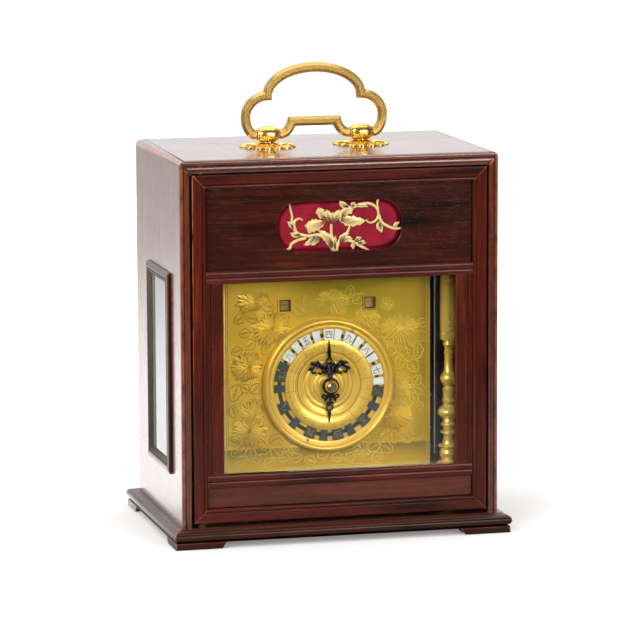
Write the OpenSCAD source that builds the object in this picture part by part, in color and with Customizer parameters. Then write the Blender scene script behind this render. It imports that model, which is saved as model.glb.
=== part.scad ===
// Japanese pillow clock: a small rosewood case with a glazed front door, a carrying handle,
// a brass spring-driven movement and a dial with sliding hour plaques.
// The origin is under the middle of the base. X runs to the right, Y to the back, Z up.

/* [Case] */
// Width over the two side boards
case_w = 120; // [114:0.5:150]
// Depth from the door's face to the back
case_d = 79; // [79:0.5:100]
// Height of the case above its base
case_h = 135; // [133:0.5:160]
// Thickness of the side boards
side_t = 3.8; // [3:0.1:4.4]
// Thickness of the top board
top_t = 5; // [4:0.1:5.4]
// Radius of the long arrises between top and sides
arris_r = 2.4; // [1:0.1:3.2]
// Depth of the beads run along the front edges
reed_depth = 1.3; // [0.6:0.1:2]
// Gap at each mitre, as the wood has shrunk
mitre_gap = 0.06; // [0.02:0.01:0.2]

/* [Base] */
// Height of the base moulding
base_h = 7; // [6:0.1:12]
// Overhang of the base at each side
over_side = 4; // [2:0.1:8]
// Overhang of the base at front and back
over_front = 5.5; // [3:0.1:10]
// Width of the side mouldings
base_bar_w = 12; // [9:0.5:18]
// Height of the arch between the bracket feet
foot_arch = 2.4; // [1.2:0.1:3.2]
// Length of the bracket feet along the front
foot_front = 17.5; // [10:0.5:26]
// Length of the bracket feet along the sides
foot_side = 15; // [8:0.5:22]
// Length of the curved end of each foot
foot_curve = 2.3; // [1:0.1:5]
// Height of the floor board's underside above the ground
floor_lift = 2.6; // [1:0.1:4]

/* [Front door] */
// Thickness of the door
door_t = 6.5; // [5.5:0.1:9]
// Gap between the door and each side board
door_gap = 0.6; // [0.5:0.05:0.9]
// Gap under the door
door_gap_low = 1.4; // [0.6:0.1:2]
// Gap above the door
door_gap_top = 0.25; // [0.1:0.05:0.8]
// Width of the frame members
frame_w = 5.4; // [4.6:0.1:8]
// Width of the bead round the inside of the frame
frame_bead = 1.5; // [0.8:0.1:2]
// Depth of the upper panel behind the frame's face
panel_back = 1.5; // [1:0.1:2]
// Depth of the window frame's face behind the door's face
inner_back = 1.1; // [0.8:0.1:1.8]
// Height of the upper panel
upper_panel_h = 30.2; // [26:0.1:40]
// Height of the lower panel
lower_panel_h = 7.4; // [5:0.1:11]
// Thickness of the two panels
panel_t = 3; // [2:0.1:4]
// Width of the window frame's upright members
inner_stile_w = 6.2; // [4:0.1:9]
// Height of the rail above the window
upper_rail_h = 4.6; // [3.6:0.1:6]
// Height of the rail below the window
lower_rail_h = 4.9; // [3.6:0.1:6]
// Thickness of the window frame
inner_t = 4.2; // [3.6:0.1:5]
// Thickness of the window glass
glass_t = 2; // [1.2:0.1:2.4]
// Cover of the wooden rebate over the glass's edge
rebate = 2; // [1:0.1:3]

/* [Cartouche] */
// Width of the opening in the upper panel
cart_w = 46.8; // [36:0.2:60]
// Height of the opening in the upper panel
cart_h = 18.6; // [14:0.2:22]
// Depth of the fret behind the panel's face
fret_back = 1; // [0.4:0.1:1.8]
// Thickness of the fret
fret_t = 0.6; // [0.3:0.05:1]
// Width of the fret's stems
stem_w = 1.1; // [0.6:0.1:1.6]

/* [Side windows] */
// Width of the opening in each side, front to back
side_open_w = 33.4; // [24:0.2:44]
// Height of the opening in each side
side_open_h = 69.6; // [50:0.2:84]
// Height of the opening's lower edge above the base
side_open_z = 19.8; // [14:0.2:30]
// Distance of the opening's middle in front of the case's middle
side_open_y = 3.2; // [0:0.1:5]
// Width of the bead round the opening
side_bead_w = 2.6; // [1.6:0.1:3.6]
// Height of the bead above the side
side_bead_t = 1.4; // [1:0.1:3.4]
// Thickness of the side panes
side_glass_t = 1.8; // [1:0.1:2.2]

/* [Handle] */
// Distance of each post from the middle
post_x = 17.9; // [15:0.1:22]
// Height of the pivot above the top board
pivot_z = 4.5; // [4.3:0.1:6]
// Half length of the post heads
head_half = 4.15; // [3:0.05:5]
// Largest radius of the post heads
head_r = 2.75; // [2.5:0.05:3.2]
// Radius of the pivot part of the bail
pivot_r = 1.6; // [1:0.05:1.8]
// Radius of the bail's section over its flats
bail_r = 1.75; // [1.3:0.05:2]
// Height of the bail's top above the pivot
bail_h = 24.7; // [20:0.1:32]
// Height of the cusps above the pivot
cusp_h = 14.4; // [11:0.1:17]
// Reach of the side lobes outside the posts
lobe_out = 8.4; // [6.6:0.1:11]
// Reach of the side lobes inside the posts
lobe_in = 8.1; // [6.6:0.1:9]
// Height of the lower bar above the pivot
bar_h = 4.6; // [4.2:0.1:7]
// Radius of the rosettes
rosette_r = 10.7; // [8:0.1:12]
// Petals on each rosette
rosette_petals = 14; // [8:1:20]
// Thickness of the rosettes at their rim
rosette_t = 0.8; // [0.5:0.1:1.2]
// Radius of the post's stem through the board
stem_r = 1.5; // [1:0.1:1.9]
// Thickness of the nuts under the board
nut_t = 2.2; // [1.4:0.1:3]

/* [Movement frame] */
// Height of the movement's feet above the floor board
feet_h = 10; // [8:0.1:14]
// Thickness of the movement's base plate
base_plate_t = 2.5; // [1.5:0.1:3]
// Thickness of the movement's top plate
top_plate_t = 2.2; // [1.2:0.1:3]
// Clear height between the two plates
frame_clear = 76.5; // [76.5:0.1:84]
// Width of the two plates
plate_w = 103; // [100:0.5:108]
// Depth of the two plates
plate_d = 49; // [47:0.5:56]
// Distance of the columns' middles from the plates' side edges
column_in_x = 5.1; // [3.5:0.1:6]
// Distance of the columns' middles from the plates' front and back edges
column_in_y = 5; // [3.5:0.1:6]
// Radius of the columns' plain upper part
column_r = 3.25; // [2.6:0.05:3.6]
// Radius of the turned feet
foot_r = 4.1; // [3:0.1:5]
// Inset of the train plates' side edges behind the dial plate's
train_in = 0.55; // [0.1:0.05:1.5]
// Thickness of the train plates
train_t = 2; // [1.6:0.1:2.2]
// Distance from the case's middle to the front train plate
train_front = 15; // [14.8:0.1:15.4]
// Distance from the case's middle to the back train plate
train_back = 16; // [16:0.1:18]

/* [Dial] */
// Space between the front train plate and the dial plate
dial_space = 2.3; // [2.3:0.1:3]
// Gap between the dial plate and the columns
dial_gap = 3.6; // [1:0.1:5]
// Thickness of the dial plate
dial_t = 1.2; // [0.8:0.1:1.4]
// Height of the dial's middle above the base
dial_z = 47.6; // [46.5:0.1:49]
// Gap under the dial plate
dial_lift = 3; // [1:0.1:5]
// Outer radius of the bezel ring
bezel_r = 25.1; // [23.6:0.1:27]
// Inner radius of the bezel's raised rim
rim_r = 23.4; // [22:0.1:23.5]
// Height of the raised rim above the ring's face
rim_h = 0.8; // [0.3:0.1:1.5]
// Height of the ring's face above the dial plate
ring_h = 2; // [1.6:0.1:2.6]
// Outer radius of the hour plaques
plaque_out = 21.05; // [20.6:0.05:21.4]
// Inner radius of the hour plaques
plaque_in = 16.95; // [16.6:0.05:17.4]
// Thickness of the hour plaques
plaque_t = 0.9; // [0.5:0.05:1.1]
// Outer radius of the slot that the plaques slide in
slot_out = 19.5; // [19.2:0.05:20]
// Inner radius of the slot that the plaques slide in
slot_in = 18; // [17.6:0.05:18.2]
// Width of the narrow half-hour plaques in degrees
narrow_deg = 8; // [6:0.1:8]
// Width of the hour plaques in degrees
wide_deg = 11.4; // [9:0.1:11.8]
// Distance of the calendar apertures from the middle
aperture_x = 16.2; // [14:0.1:18]
// Height of the calendar apertures above the dial's middle
aperture_dz = 30.2; // [29:0.1:33]
// Size of the calendar apertures
aperture = 4.4; // [3:0.1:5.4]
// Radius of the calendar discs
disc_r = 10.4; // [9.8:0.1:11]
// Thickness of the calendar discs
disc_t = 0.5; // [0.3:0.05:0.7]

/* [Hand] */
// Length of the hand above its middle
hand_up = 17; // [14:0.1:19]
// Length of the hand's tail
hand_down = 14; // [11:0.1:16]
// Thickness of the hand
hand_t = 0.6; // [0.4:0.05:0.9]
// Distance of the hand's face in front of the dial plate
hand_out = 5.2; // [4.2:0.1:6]
// Radius of the hub ball
hub_r = 2.45; // [2:0.05:3]
// Radius of the hand arbor
arbor_r = 1.07; // [0.9:0.01:1.3]
// Distance of the arbor's tip in front of the dial plate
arbor_out = 8; // [7.2:0.1:9]

/* [Trains] */
// Module of every gear in millimetres
gear_m = 0.4; // [0.4:0.001:0.405]
// Thickness of the wheels
wheel_t = 1.2; // [0.8:0.05:1.4]
// Radius of the wheel arbors
wheel_arbor_r = 0.9; // [0.7:0.05:1]
// Radius of the pivots in the train plates
train_pivot_r = 0.6; // [0.4:0.05:0.65]
// Radius of the mainspring barrel
barrel_r = 11.5; // [9:0.1:11.8]
// Largest radius of the fusee
fusee_r1 = 10.4; // [8:0.1:10.6]
// Smallest radius of the fusee
fusee_r2 = 6.4; // [4:0.1:8]
// Radius of the strike barrel
strike_r = 12.4; // [9:0.1:12.8]
// Half width over the flats of the winding squares
square_half = 1.3; // [1:0.05:1.6]
// Radius of the crown wheel
crown_r = 7; // [6:0.1:7.6]
// Radius of the circle of lifting pins
pin_circle = 10; // [8:0.1:10.4]
// Length of the hammer's arm above its arbor
hammer_arm = 38; // [36:0.1:42]

/* [Balance and bell] */
// Height of the balance above the top plate
balance_lift = 4.2; // [3:0.1:6]
// Radius of the balance
balance_r = 13; // [10:0.1:13.4]
// Thickness of the balance rim
balance_t = 1.4; // [0.8:0.1:1.8]
// Distance of the verge behind the case's middle
verge_y = 4.5; // [4.4:0.1:5]
// Radius of the verge
verge_r = 0.9; // [0.6:0.05:1]
// Radius of the bell at its rim
bell_r = 20; // [18:0.1:21]
// Height of the bell's rim above the top plate
bell_lift = 13; // [12:0.1:14]
// Height of the bell
bell_h = 16; // [13:0.1:16.4]
// Thickness of the bell's wall
bell_t = 1; // [0.8:0.05:1.4]
// Radius of the bell stand's post
stand_r = 1.5; // [1.2:0.1:1.7]

/* [Fits] */
// Radial clearance of every pivot in its bore
run_fit = 0.05; // [0.02:0.01:0.09]
// Play of a pane or plate in its seat
seat_gap = 0.1; // [0.05:0.05:0.3]
// Radius of the door pivots
hinge_r = 0.9; // [0.7:0.05:1]
// Distance of the door's axis behind the door's face
hinge_back = 1.8; // [1.6:0.05:1.9]
// Distance of the door's axis from the door's edge
hinge_in = 3.4; // [3.2:0.05:3.8]
// Length of the door pivots in the wood
hinge_len = 4; // [2:0.1:6]

/* [Hidden] */
$fn = 48;
far = 400;
hw = case_w / 2;
hd = case_d / 2;
z_top = base_h + case_h;
z_under = z_top - top_t;
bead_step = 18;

// Door
door_hw = hw - side_t - door_gap;
door_z0 = base_h + door_gap_low;
door_z1 = z_under - door_gap_top;
door_zm = (door_z0 + door_z1) / 2;
door_hh = (door_z1 - door_z0) / 2;
field_hw = door_hw - frame_w;
field_z0 = door_z0 + frame_w;
field_z1 = door_z1 - frame_w;
lower_z1 = field_z0 + lower_panel_h;
upper_z0 = field_z1 - upper_panel_h;
win_hw = field_hw - inner_stile_w;
win_z0 = lower_z1 + lower_rail_h;
win_z1 = upper_z0 - upper_rail_h;
panel_y = -hd + panel_back;
inner_y = -hd + inner_back;
glass_y = inner_y + inner_t - glass_t - seat_gap;
cart_z = (upper_z0 + field_z1) / 2;
fret_y = panel_y + fret_back;
silk_t = 0.6;
silk_edge = 2.5;

// Side windows
side_z0 = base_h + side_open_z;
side_zm = side_z0 + side_open_h / 2;
side_pocket = 1.5;

// Handle
pivot_level = z_top + pivot_z;
head_gap = 0.4;
lobe_rx_in = lobe_in - head_half - head_gap;
rosette_dome = 1.3;

// Movement frame
plate_z = base_h + feet_h;
frame_z0 = plate_z + base_plate_t;
frame_z1 = frame_z0 + frame_clear;
top_plate_z = frame_z1 + top_plate_t;
tenon_r = 2;
column_x = plate_w / 2 - column_in_x;
column_y = plate_d / 2 - column_in_y;

// Dial
dial_y = -train_front - dial_space - dial_t;
dial_hw = column_x - column_r - dial_gap;
train_hw = dial_hw - train_in;
dial_cz = base_h + dial_z;
dial_z0 = frame_z0 + dial_lift;
dial_back_y = dial_y + dial_t;
ring_y = dial_y - ring_h;
ledge_y = ring_y + plaque_t + seat_gap;
disc_dz = 8;
disc_y = dial_back_y + 0.2;
disc_stud_r = 1.2;
// Middle of each hour plaque and of the half-hour plaque after it, clockwise in degrees
plaque_deg = [[0, 10.4], [24, 35.6], [49, 60.4], [75, 88], [100, 117], [136, 154.6],
    [169.8, 186], [202, 223.6], [245.6, 268], [282, 293.8], [306.7, 320], [332.8, 345.8]];

// Trains
wheel_n = 60;
great_n = 72;
leaf_n = 8;
hour_leaf_n = 12;
count_n = 90;
count_leaf_n = 10;
reach_great = gear_m * (great_n + leaf_n) / 2;
reach_wheel = gear_m * (wheel_n + leaf_n) / 2;
reach_hour = gear_m * (wheel_n + hour_leaf_n) / 2;
reach_count = gear_m * (count_n + count_leaf_n) / 2;
to_second = 65;
to_third = 125;
to_crown = 175;
to_pin = 75;
to_fly = 85;
to_count = -35;
fusee_at = [reach_hour, dial_cz];
second_at = fusee_at + polar(reach_great, to_second);
third_at = second_at + polar(reach_wheel, to_third);
crown_at = third_at + polar(reach_wheel, to_crown);
barrel_at = fusee_at + [11.6, -21.8];
strike_at = [-24, dial_cz - 16.6];
pin_at = strike_at + polar(reach_great, to_pin);
fly_at = pin_at + polar(reach_wheel, to_fly);
count_at = pin_at + polar(reach_count, to_count);
hammer_at = [-33, dial_cz + 23.4];
front_in = -train_front + train_t;
drum_y0 = -9;
drum_y1 = 8;
great_y = -12;
great_back = great_y + wheel_t - 0.1;
far_wheel_y = 9.8;
near_wheel_y = -5;
hour_wheel_t = 0.9;
hour_wheel_y = -train_front - 0.3 - hour_wheel_t;
crown_y0 = -1.8;
crown_y1 = 2.2;
verge_pivot_r = 0.5;
potence_y = crown_y1 + 0.25;
potence_t = 0.9;
fusee_turns = 8;
fusee_pitch = (drum_y1 - drum_y0 - 2) / fusee_turns;

// Bell and hammer
bell_y = -2;
bell_z = top_plate_z + bell_lift;
stand_y = 21.2;
hammer_gap = 0.5;
slot_half = 2.2;
hammer_y = bell_y;
tail_y = 12.2;

function polar(r, a) = [r * cos(a), r * sin(a)];

function arc(cx, cy, r, a0, a1, step) =
    [for (i = [0:round(abs(a1 - a0) / step)])
        let (a = a0 + (a1 - a0) * i / round(abs(a1 - a0) / step))
        [cx + r * cos(a), cy + r * sin(a)]];

// Flattened arc from depth d0 up to the face and down to depth d1, u0 to u1 across
function bead(u0, u1, d0, d1) =
    [for (a = [0:bead_step:180])
        let (half = (u1 - u0) / 2)
        [u0 + half * (1 - cos(a)), (a < 90 ? d0 : d1) * (1 - sin(a))]];

// Swelling of a turned profile, points of radius and height
function swell(z, half, r_low, r_high) =
    [for (a = [-90:22.5:90]) [r_low + (r_high - r_low) * cos(a), z + half * a / 90]];

// Solid between two depths, drawn as outlines seen from the front
module slab(y0, y1) {
    for (i = [0:$children - 1])
        translate([0, y1, 0]) rotate([90, 0, 0]) linear_extrude(height = y1 - y0) children(i);
}

// Rod along the depth at a place seen from the front
module rod_y(at, r, y0, y1) {
    translate([at[0], y0, at[1]]) rotate([-90, 0, 0]) cylinder(r = r, h = y1 - y0);
}

module rect(x0, x1, z0, z1) {
    translate([x0, z0]) square([x1 - x0, z1 - z0]);
}

// One member of a mitred frame: its outer face at -reach, its length along Z,
// its own width w_own, the width of the members that it meets w_next
module mitred_member(reach, run, w_own, w_next) {
    slope = w_next / w_own;
    intersection() {
        translate([-reach, 0, 0]) linear_extrude(height = 2 * run, center = true) children();
        rotate([90, 0, 0]) linear_extrude(height = far, center = true)
            polygon([[-reach - 1, -run - slope + mitre_gap], [-reach + w_own, -run + w_next + mitre_gap],
                [-reach + w_own, run - w_next - mitre_gap], [-reach - 1, run + slope - mitre_gap]]);
    }
}

// Four mitred members with one section, standing upright and seen from the front
module mitred_frame(half_w, half_h, w) {
    for (s = [0, 1]) {
        mirror([s, 0, 0]) mitred_member(half_w, half_h, w, w) children();
        mirror([0, 0, s]) rotate([0, 90, 0]) mitred_member(half_h, half_w, w, w) children();
    }
}

// Section of the base moulding: a small ledge, a bullnose, a recess and the foot
module base_section(over, w) {
    nose = (base_h - foot_arch) * 0.42;
    nose_z = foot_arch + 0.3 + nose;
    k = over / over_side;
    polygon(concat([[w, 0], [0.5 * k, 0], [0.5 * k, foot_arch], [0.9 * k, foot_arch + 0.15]],
        [for (a = [-75:15:90]) [k * (nose - nose * cos(a)), nose_z + nose * sin(a)]],
        [[k * (nose + 0.5), base_h - 0.35], [k * (nose + 0.9), base_h], [w, base_h]]));
}

// Outline cut from under the base between two feet
module foot_arch_outline(half) {
    curve = [for (i = [0:6]) [foot_curve * i / 6, foot_arch * (1 - cos(180 * i / 6)) / 2]];
    polygon(concat([[-half, -1]], [for (p = curve) [-half + p[0], p[1]]],
        [for (i = [0:6]) [half - curve[6 - i][0], curve[6 - i][1]]], [[half, -1]]));
}

module base_moulding() {
    front_w = base_bar_w * over_front / over_side;
    color([0.26, 0.08, 0.05]) difference() {
        for (s = [0, 1]) {
            mirror([s, 0, 0]) rotate([90, 0, 0])
                mitred_member(hw + over_side, hd + over_front, base_bar_w, front_w)
                base_section(over_side, base_bar_w);
            mirror([0, s, 0]) rotate([0, 0, 90]) rotate([90, 0, 0])
                mitred_member(hd + over_front, hw + over_side, front_w, base_bar_w)
                base_section(over_front, front_w);
        }
        rotate([90, 0, 0]) linear_extrude(height = far, center = true)
            foot_arch_outline(hw + over_side - foot_front);
        rotate([90, 0, 90]) linear_extrude(height = far, center = true)
            foot_arch_outline(hd + over_front - foot_side);
        for (s = [-1, 1])
            translate([s * (door_hw - hinge_in), 0, 0]) hinge_bore(s, base_h - hinge_len, base_h + 1);
    }
}

// Bore for a fixed pivot: the front door's at the left, the back door's at the right
module hinge_bore(s, z0, z1) {
    translate([0, s * (hd - hinge_back), z0]) cylinder(r = hinge_r, h = z1 - z0, $fn = 32);
}

module floor_board() {
    front_w = base_bar_w * over_front / over_side;
    wx = hw + over_side - base_bar_w;
    wy = hd + over_front - front_w;
    color([0.30, 0.12, 0.07])
        translate([-wx, -wy, floor_lift]) cube([2 * wx, 2 * wy, base_h - floor_lift]);
}

// Upside-down U of the two sides and the top, seen from the front
module carcass_outline() {
    difference() {
        polygon(concat([[-hw, base_h]], arc(-hw + arris_r, z_top - arris_r, arris_r, 180, 90, 11.25),
            arc(hw - arris_r, z_top - arris_r, arris_r, 90, 0, 11.25), [[hw, base_h]]));
        rect(-hw + side_t, hw - side_t, base_h - 1, z_under);
    }
}

// Section of a carcass board: two beads on the front edge, a rounded back edge
module board_section(t) {
    split = 0.4 * t;
    polygon(concat(bead(0, split, reed_depth, reed_depth * 0.45),
        bead(split, t, reed_depth * 0.45, reed_depth * 0.6), [[t, case_d]],
        [for (a = [0:22.5:90]) [0.8 * (1 - sin(a)), case_d - 0.8 * (1 - cos(a))]]));
}

module side_board() {
    difference() {
        intersection() {
            slab(-hd - 1, hd + 1) intersection() {
                carcass_outline();
                polygon([[-hw - 5, base_h - 1], [-hw + side_t, base_h - 1],
                    [-hw + side_t, z_under - mitre_gap],
                    [-hw - side_t, z_top + top_t - mitre_gap]]);
            }
            translate([-hw, -hd, 0]) linear_extrude(height = far) board_section(side_t);
        }
        translate([-hw, -side_open_y, side_zm]) {
            cube([far / 10, side_open_w, side_open_h], center = true);
            cube([2 * (side_glass_t + 2 * seat_gap), side_open_w + 2 * side_pocket,
                side_open_h + 2 * side_pocket], center = true);
        }
    }
}

module case_left_side() {
    color([0.30, 0.09, 0.06]) side_board();
}

module case_right_side() {
    color([0.30, 0.09, 0.06]) mirror([1, 0, 0]) side_board();
}

module case_top() {
    color([0.33, 0.11, 0.07]) difference() {
        intersection() {
            slab(-hd - 1, hd + 1) intersection() {
                carcass_outline();
                polygon([[-hw + side_t, z_under], [-hw - side_t, z_top + top_t],
                    [hw + side_t, z_top + top_t], [hw - side_t, z_under]]);
            }
            translate([-far / 2, -hd, z_top]) rotate([0, 90, 0])
                linear_extrude(height = far) board_section(top_t);
        }
        for (s = [-1, 1]) {
            translate([s * post_x, 0, z_under - 1])
                cylinder(r = stem_r + run_fit, h = top_t + 2, $fn = 32);
            translate([s * (door_hw - hinge_in), 0, 0])
                hinge_bore(s, z_under - 1, z_under + top_t * 0.6);
        }
    }
}

module side_window_glass() {
    w = side_open_w + 2 * side_pocket - 2 * seat_gap;
    h = side_open_h + 2 * side_pocket - 2 * seat_gap;
    color([0.75, 0.80, 0.80, 0.4]) for (s = [0, 1]) mirror([s, 0, 0])
        translate([-hw + seat_gap, -side_open_y - w / 2, side_zm - h / 2])
            cube([side_glass_t, w, h]);
}

module side_window_beads() {
    color([0.24, 0.07, 0.05]) for (s = [0, 1]) mirror([s, 0, 0])
        translate([-hw, -side_open_y, side_zm]) rotate([0, 0, -90])
            mitred_frame(side_open_w / 2 + side_bead_w, side_open_h / 2 + side_bead_w, side_bead_w)
                translate([0, -side_bead_t]) polygon(concat(
                    [for (a = [0:15:90]) [side_bead_w * 0.6 * (1 - cos(a)), side_bead_t * 0.6 * (1 - sin(a))]],
                    [for (a = [0:22.5:90]) [side_bead_w - 0.5 + 0.5 * sin(a), 0.5 * (1 - cos(a))]],
                    [[side_bead_w, side_bead_t], [0, side_bead_t]]));
}

module door_bores() {
    for (z = [door_z0 - 1, door_z1 - hinge_len])
        translate([-(door_hw - hinge_in), -hd + hinge_back, z])
            cylinder(r = hinge_r + run_fit, h = hinge_len + 1, $fn = 32);
}

// Section of the door frame: a small arris, a flat, a fine groove and a bead
module frame_section() {
    flat = frame_w - frame_bead;
    arris = 0.5;
    polygon(concat([for (a = [0:22.5:90]) [arris * (1 - cos(a)), arris * (1 - sin(a))]],
        [[flat - 0.35, 0], [flat, 0.35]], bead(flat, frame_w, 0.35, panel_back),
        [[frame_w, door_t], [0, door_t]]));
}

module door_frame() {
    color([0.24, 0.07, 0.045]) difference() {
        translate([0, -hd, door_zm]) mitred_frame(door_hw, door_hh, frame_w) frame_section();
        door_bores();
    }
}

// Section of a bar across the door: a bead at each edge and a groove between
module rail_beads(z0, z1) {
    face = inner_back - 0.5;
    mid = (z0 + z1) / 2;
    translate([-field_hw, -hd + face, 0]) rotate([90, 0, 90]) linear_extrude(height = 2 * field_hw)
        polygon(concat(
            [for (p = bead(z0, mid, 0.5, 0.35)) [p[1], p[0]]],
            [for (p = bead(mid, z1, 0.35, 0.5)) [p[1], p[0]]], [[0.6, z1], [0.6, z0]]));
}

module door_window_frame() {
    color([0.22, 0.065, 0.04]) {
        difference() {
            slab(inner_y, inner_y + inner_t) difference() {
                rect(-field_hw, field_hw, lower_z1, upper_z0);
                rect(-win_hw, win_hw, win_z0, win_z1);
            }
            slab(glass_y - seat_gap, inner_y + inner_t + 1) rect(-win_hw - rebate, win_hw + rebate,
                win_z0 - rebate, win_z1 + rebate);
            for (s = [-1, 1])
                translate([s * (field_hw - 1.6), inner_y, lower_z1 - 1])
                    cylinder(r = 0.3, h = far, $fn = 16);
        }
        rail_beads(lower_z1, win_z0);
        rail_beads(win_z1, upper_z0);
    }
}

module cartouche_outline(inset) {
    r = cart_h / 2 - 1.2 - inset;
    x = cart_w / 2 - inset - r;
    z = 1.2;
    translate([0, cart_z]) polygon(concat(arc(x, z, r, 0, 90, 9), arc(-x, z, r, 90, 180, 9),
        arc(-x, -z, r, 180, 270, 9), arc(x, -z, r, 270, 360, 9)));
}

module door_upper_panel() {
    color([0.24, 0.07, 0.045]) slab(panel_y, panel_y + panel_t) difference() {
        rect(-field_hw, field_hw, upper_z0, field_z1);
        cartouche_outline(0);
    }
}

module door_lower_panel() {
    color([0.22, 0.065, 0.04]) slab(panel_y, panel_y + panel_t)
        rect(-field_hw, field_hw, field_z0, lower_z1);
}

module door_glass() {
    play = rebate - seat_gap;
    color([0.85, 0.9, 0.88, 0.25]) slab(glass_y, glass_y + glass_t)
        rect(-win_hw - play, win_hw + play, win_z0 - play, win_z1 + play);
}

// A ring sector, used for the curling stems
module stem(at, r, a0, a1, w) {
    translate(at) polygon(concat(arc(0, 0, r + w / 2, a0, a1, 12), arc(0, 0, r - w / 2, a1, a0, 12)));
}

// A pointed leaf between two arcs
module leaf(at, len, fat, a) {
    r = (len * len / 4 + fat * fat) / (2 * fat);
    half = asin(len / 2 / r);
    translate(at) rotate(a) translate([len / 2, 0])
        polygon(concat(arc(0, -r + fat, r, 90 + half, 90 - half, half / 3),
            arc(0, r - fat, r, -90 + half, -90 - half, half / 3)));
}

// Places a piece of the fret, drawn for a cartouche 18.6 high about its own middle
module scroll() {
    slab(fret_y, fret_y + fret_t) translate([0, cart_z]) scale(cart_h / 18.6) children();
}

// The fret is a wave of half rings with leaves that reach the rim
module sound_fret() {
    wave_r = 5;
    petals = 8;
    color([0.85, 0.76, 0.55]) intersection() {
        slab(fret_y, fret_y + fret_t) cartouche_outline(0);
        union() {
            slab(fret_y, fret_y + fret_t) difference() {
                cartouche_outline(0);
                cartouche_outline(0.45);
            }
            scroll() circle(r = 2.9, $fn = 24);
            for (i = [0:petals - 1])
                scroll() rotate(360 * (i + 0.25) / petals) translate([3.2, 0]) circle(r = 2, $fn = 20);
            for (i = [0:3]) {
                c = [wave_r * (2 * i - 3), 0];
                up = i % 2 == 0 ? 1 : -1;
                for (a = [40, 90, 140])
                    scroll() leaf(c + polar(wave_r - 0.3, up * a), 5.6, 1.1, up * (a + 12));
                scroll() stem(c, wave_r, up * -6, up * 186, stem_w);
                scroll() stem(c + [2.1, 0], 3, up * -20, up * 190, stem_w * 0.8);
                scroll() leaf(c + [-1, -0.6 * up], 4.6, 1, up * 100);
            }
            for (s = [-1, 1]) {
                scroll() leaf([s * 19.6, 0], 5.4, 1.2, s > 0 ? -25 : 205);
                scroll() leaf([s * 19.6, 0], 5.2, 1.1, s > 0 ? 50 : 130);
            }
        }
    }
}

module silk_backing() {
    color([0.55, 0.05, 0.16]) {
        slab(fret_y + fret_t, panel_y + panel_t + 0.2) cartouche_outline(seat_gap);
        slab(panel_y + panel_t, panel_y + panel_t + silk_t) rect(-cart_w / 2 - silk_edge,
            cart_w / 2 + silk_edge, cart_z - cart_h / 2 - silk_edge, cart_z + cart_h / 2 + silk_edge);
    }
}

module back_door() {
    recess = 1;
    color([0.26, 0.08, 0.05]) difference() {
        slab(hd - door_t, hd) rect(-door_hw, door_hw, door_z0, door_z1);
        slab(hd - recess, hd + 1) difference() {
            rect(-field_hw, field_hw, field_z0, field_z1);
            rect(-field_hw + 3, field_hw - 3, field_z0 + 3, field_z1 - 3);
        }
        mirror([1, 0, 0]) mirror([0, 1, 0]) door_bores();
        rod_y([-field_hw - frame_w / 2, door_zm], 1, hd - 3, hd + 1);
    }
}

module back_door_knob() {
    color([0.83, 0.62, 0.25]) translate([-field_hw - frame_w / 2, hd, door_zm]) rotate([-90, 0, 0])
        rotate_extrude() polygon(concat([[0, -3], [1, -3], [1, 0], [1.9, 0], [1.9, 0.6], [1, 1.1], [1, 1.8]],
            arc(0, 3.2, 1.8, -40, 90, 16.25)));
}

module door_pivots() {
    color([0.55, 0.52, 0.48]) for (s = [-1, 1])
        translate([s * (door_hw - hinge_in), s * (hd - hinge_back), 0]) {
            translate([0, 0, base_h - hinge_len])
                cylinder(r = hinge_r, h = hinge_len * 2 + door_gap_low - 0.3, $fn = 32);
            translate([0, 0, base_h]) cylinder(r = hinge_r + 0.7, h = door_gap_low - seat_gap, $fn = 32);
            translate([0, 0, door_z1 - hinge_len + 0.3])
                cylinder(r = hinge_r, h = z_under + top_t * 0.6 - door_z1 + hinge_len - 0.3, $fn = 32);
        }
}

// Octagonal bar swept along points of X and Z
function bar_ring(p, t, r) =
    let (n = [-t[1], t[0]] / norm(t))
    [for (k = [0:7]) let (a = 22.5 + 45 * k, q = r / cos(22.5))
        [p[0] + n[0] * q * cos(a), q * sin(a), p[1] + n[1] * q * cos(a)]];

module bar(path, r) {
    m = len(path);
    rings = [for (i = [0:m - 1]) bar_ring(path[i], path[min(i + 1, m - 1)] - path[max(i - 1, 0)], r)];
    polyhedron(points = [for (g = rings) each g],
        faces = concat([[for (k = [7:-1:0]) k]], [[for (k = [0:7]) (m - 1) * 8 + k]],
            [for (i = [0:m - 2]) for (k = [0:7]) let (a = i * 8, b = a + 8, n = (k + 1) % 8)
                [a + k, a + n, b + n, b + k]]));
}

function ellipse_arc(cx, cz, rx, rz, a0, a1, n) =
    [for (i = [0:n]) let (a = a0 + (a1 - a0) * i / n) [cx + rx * cos(a), cz + rz * sin(a)]];

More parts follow.
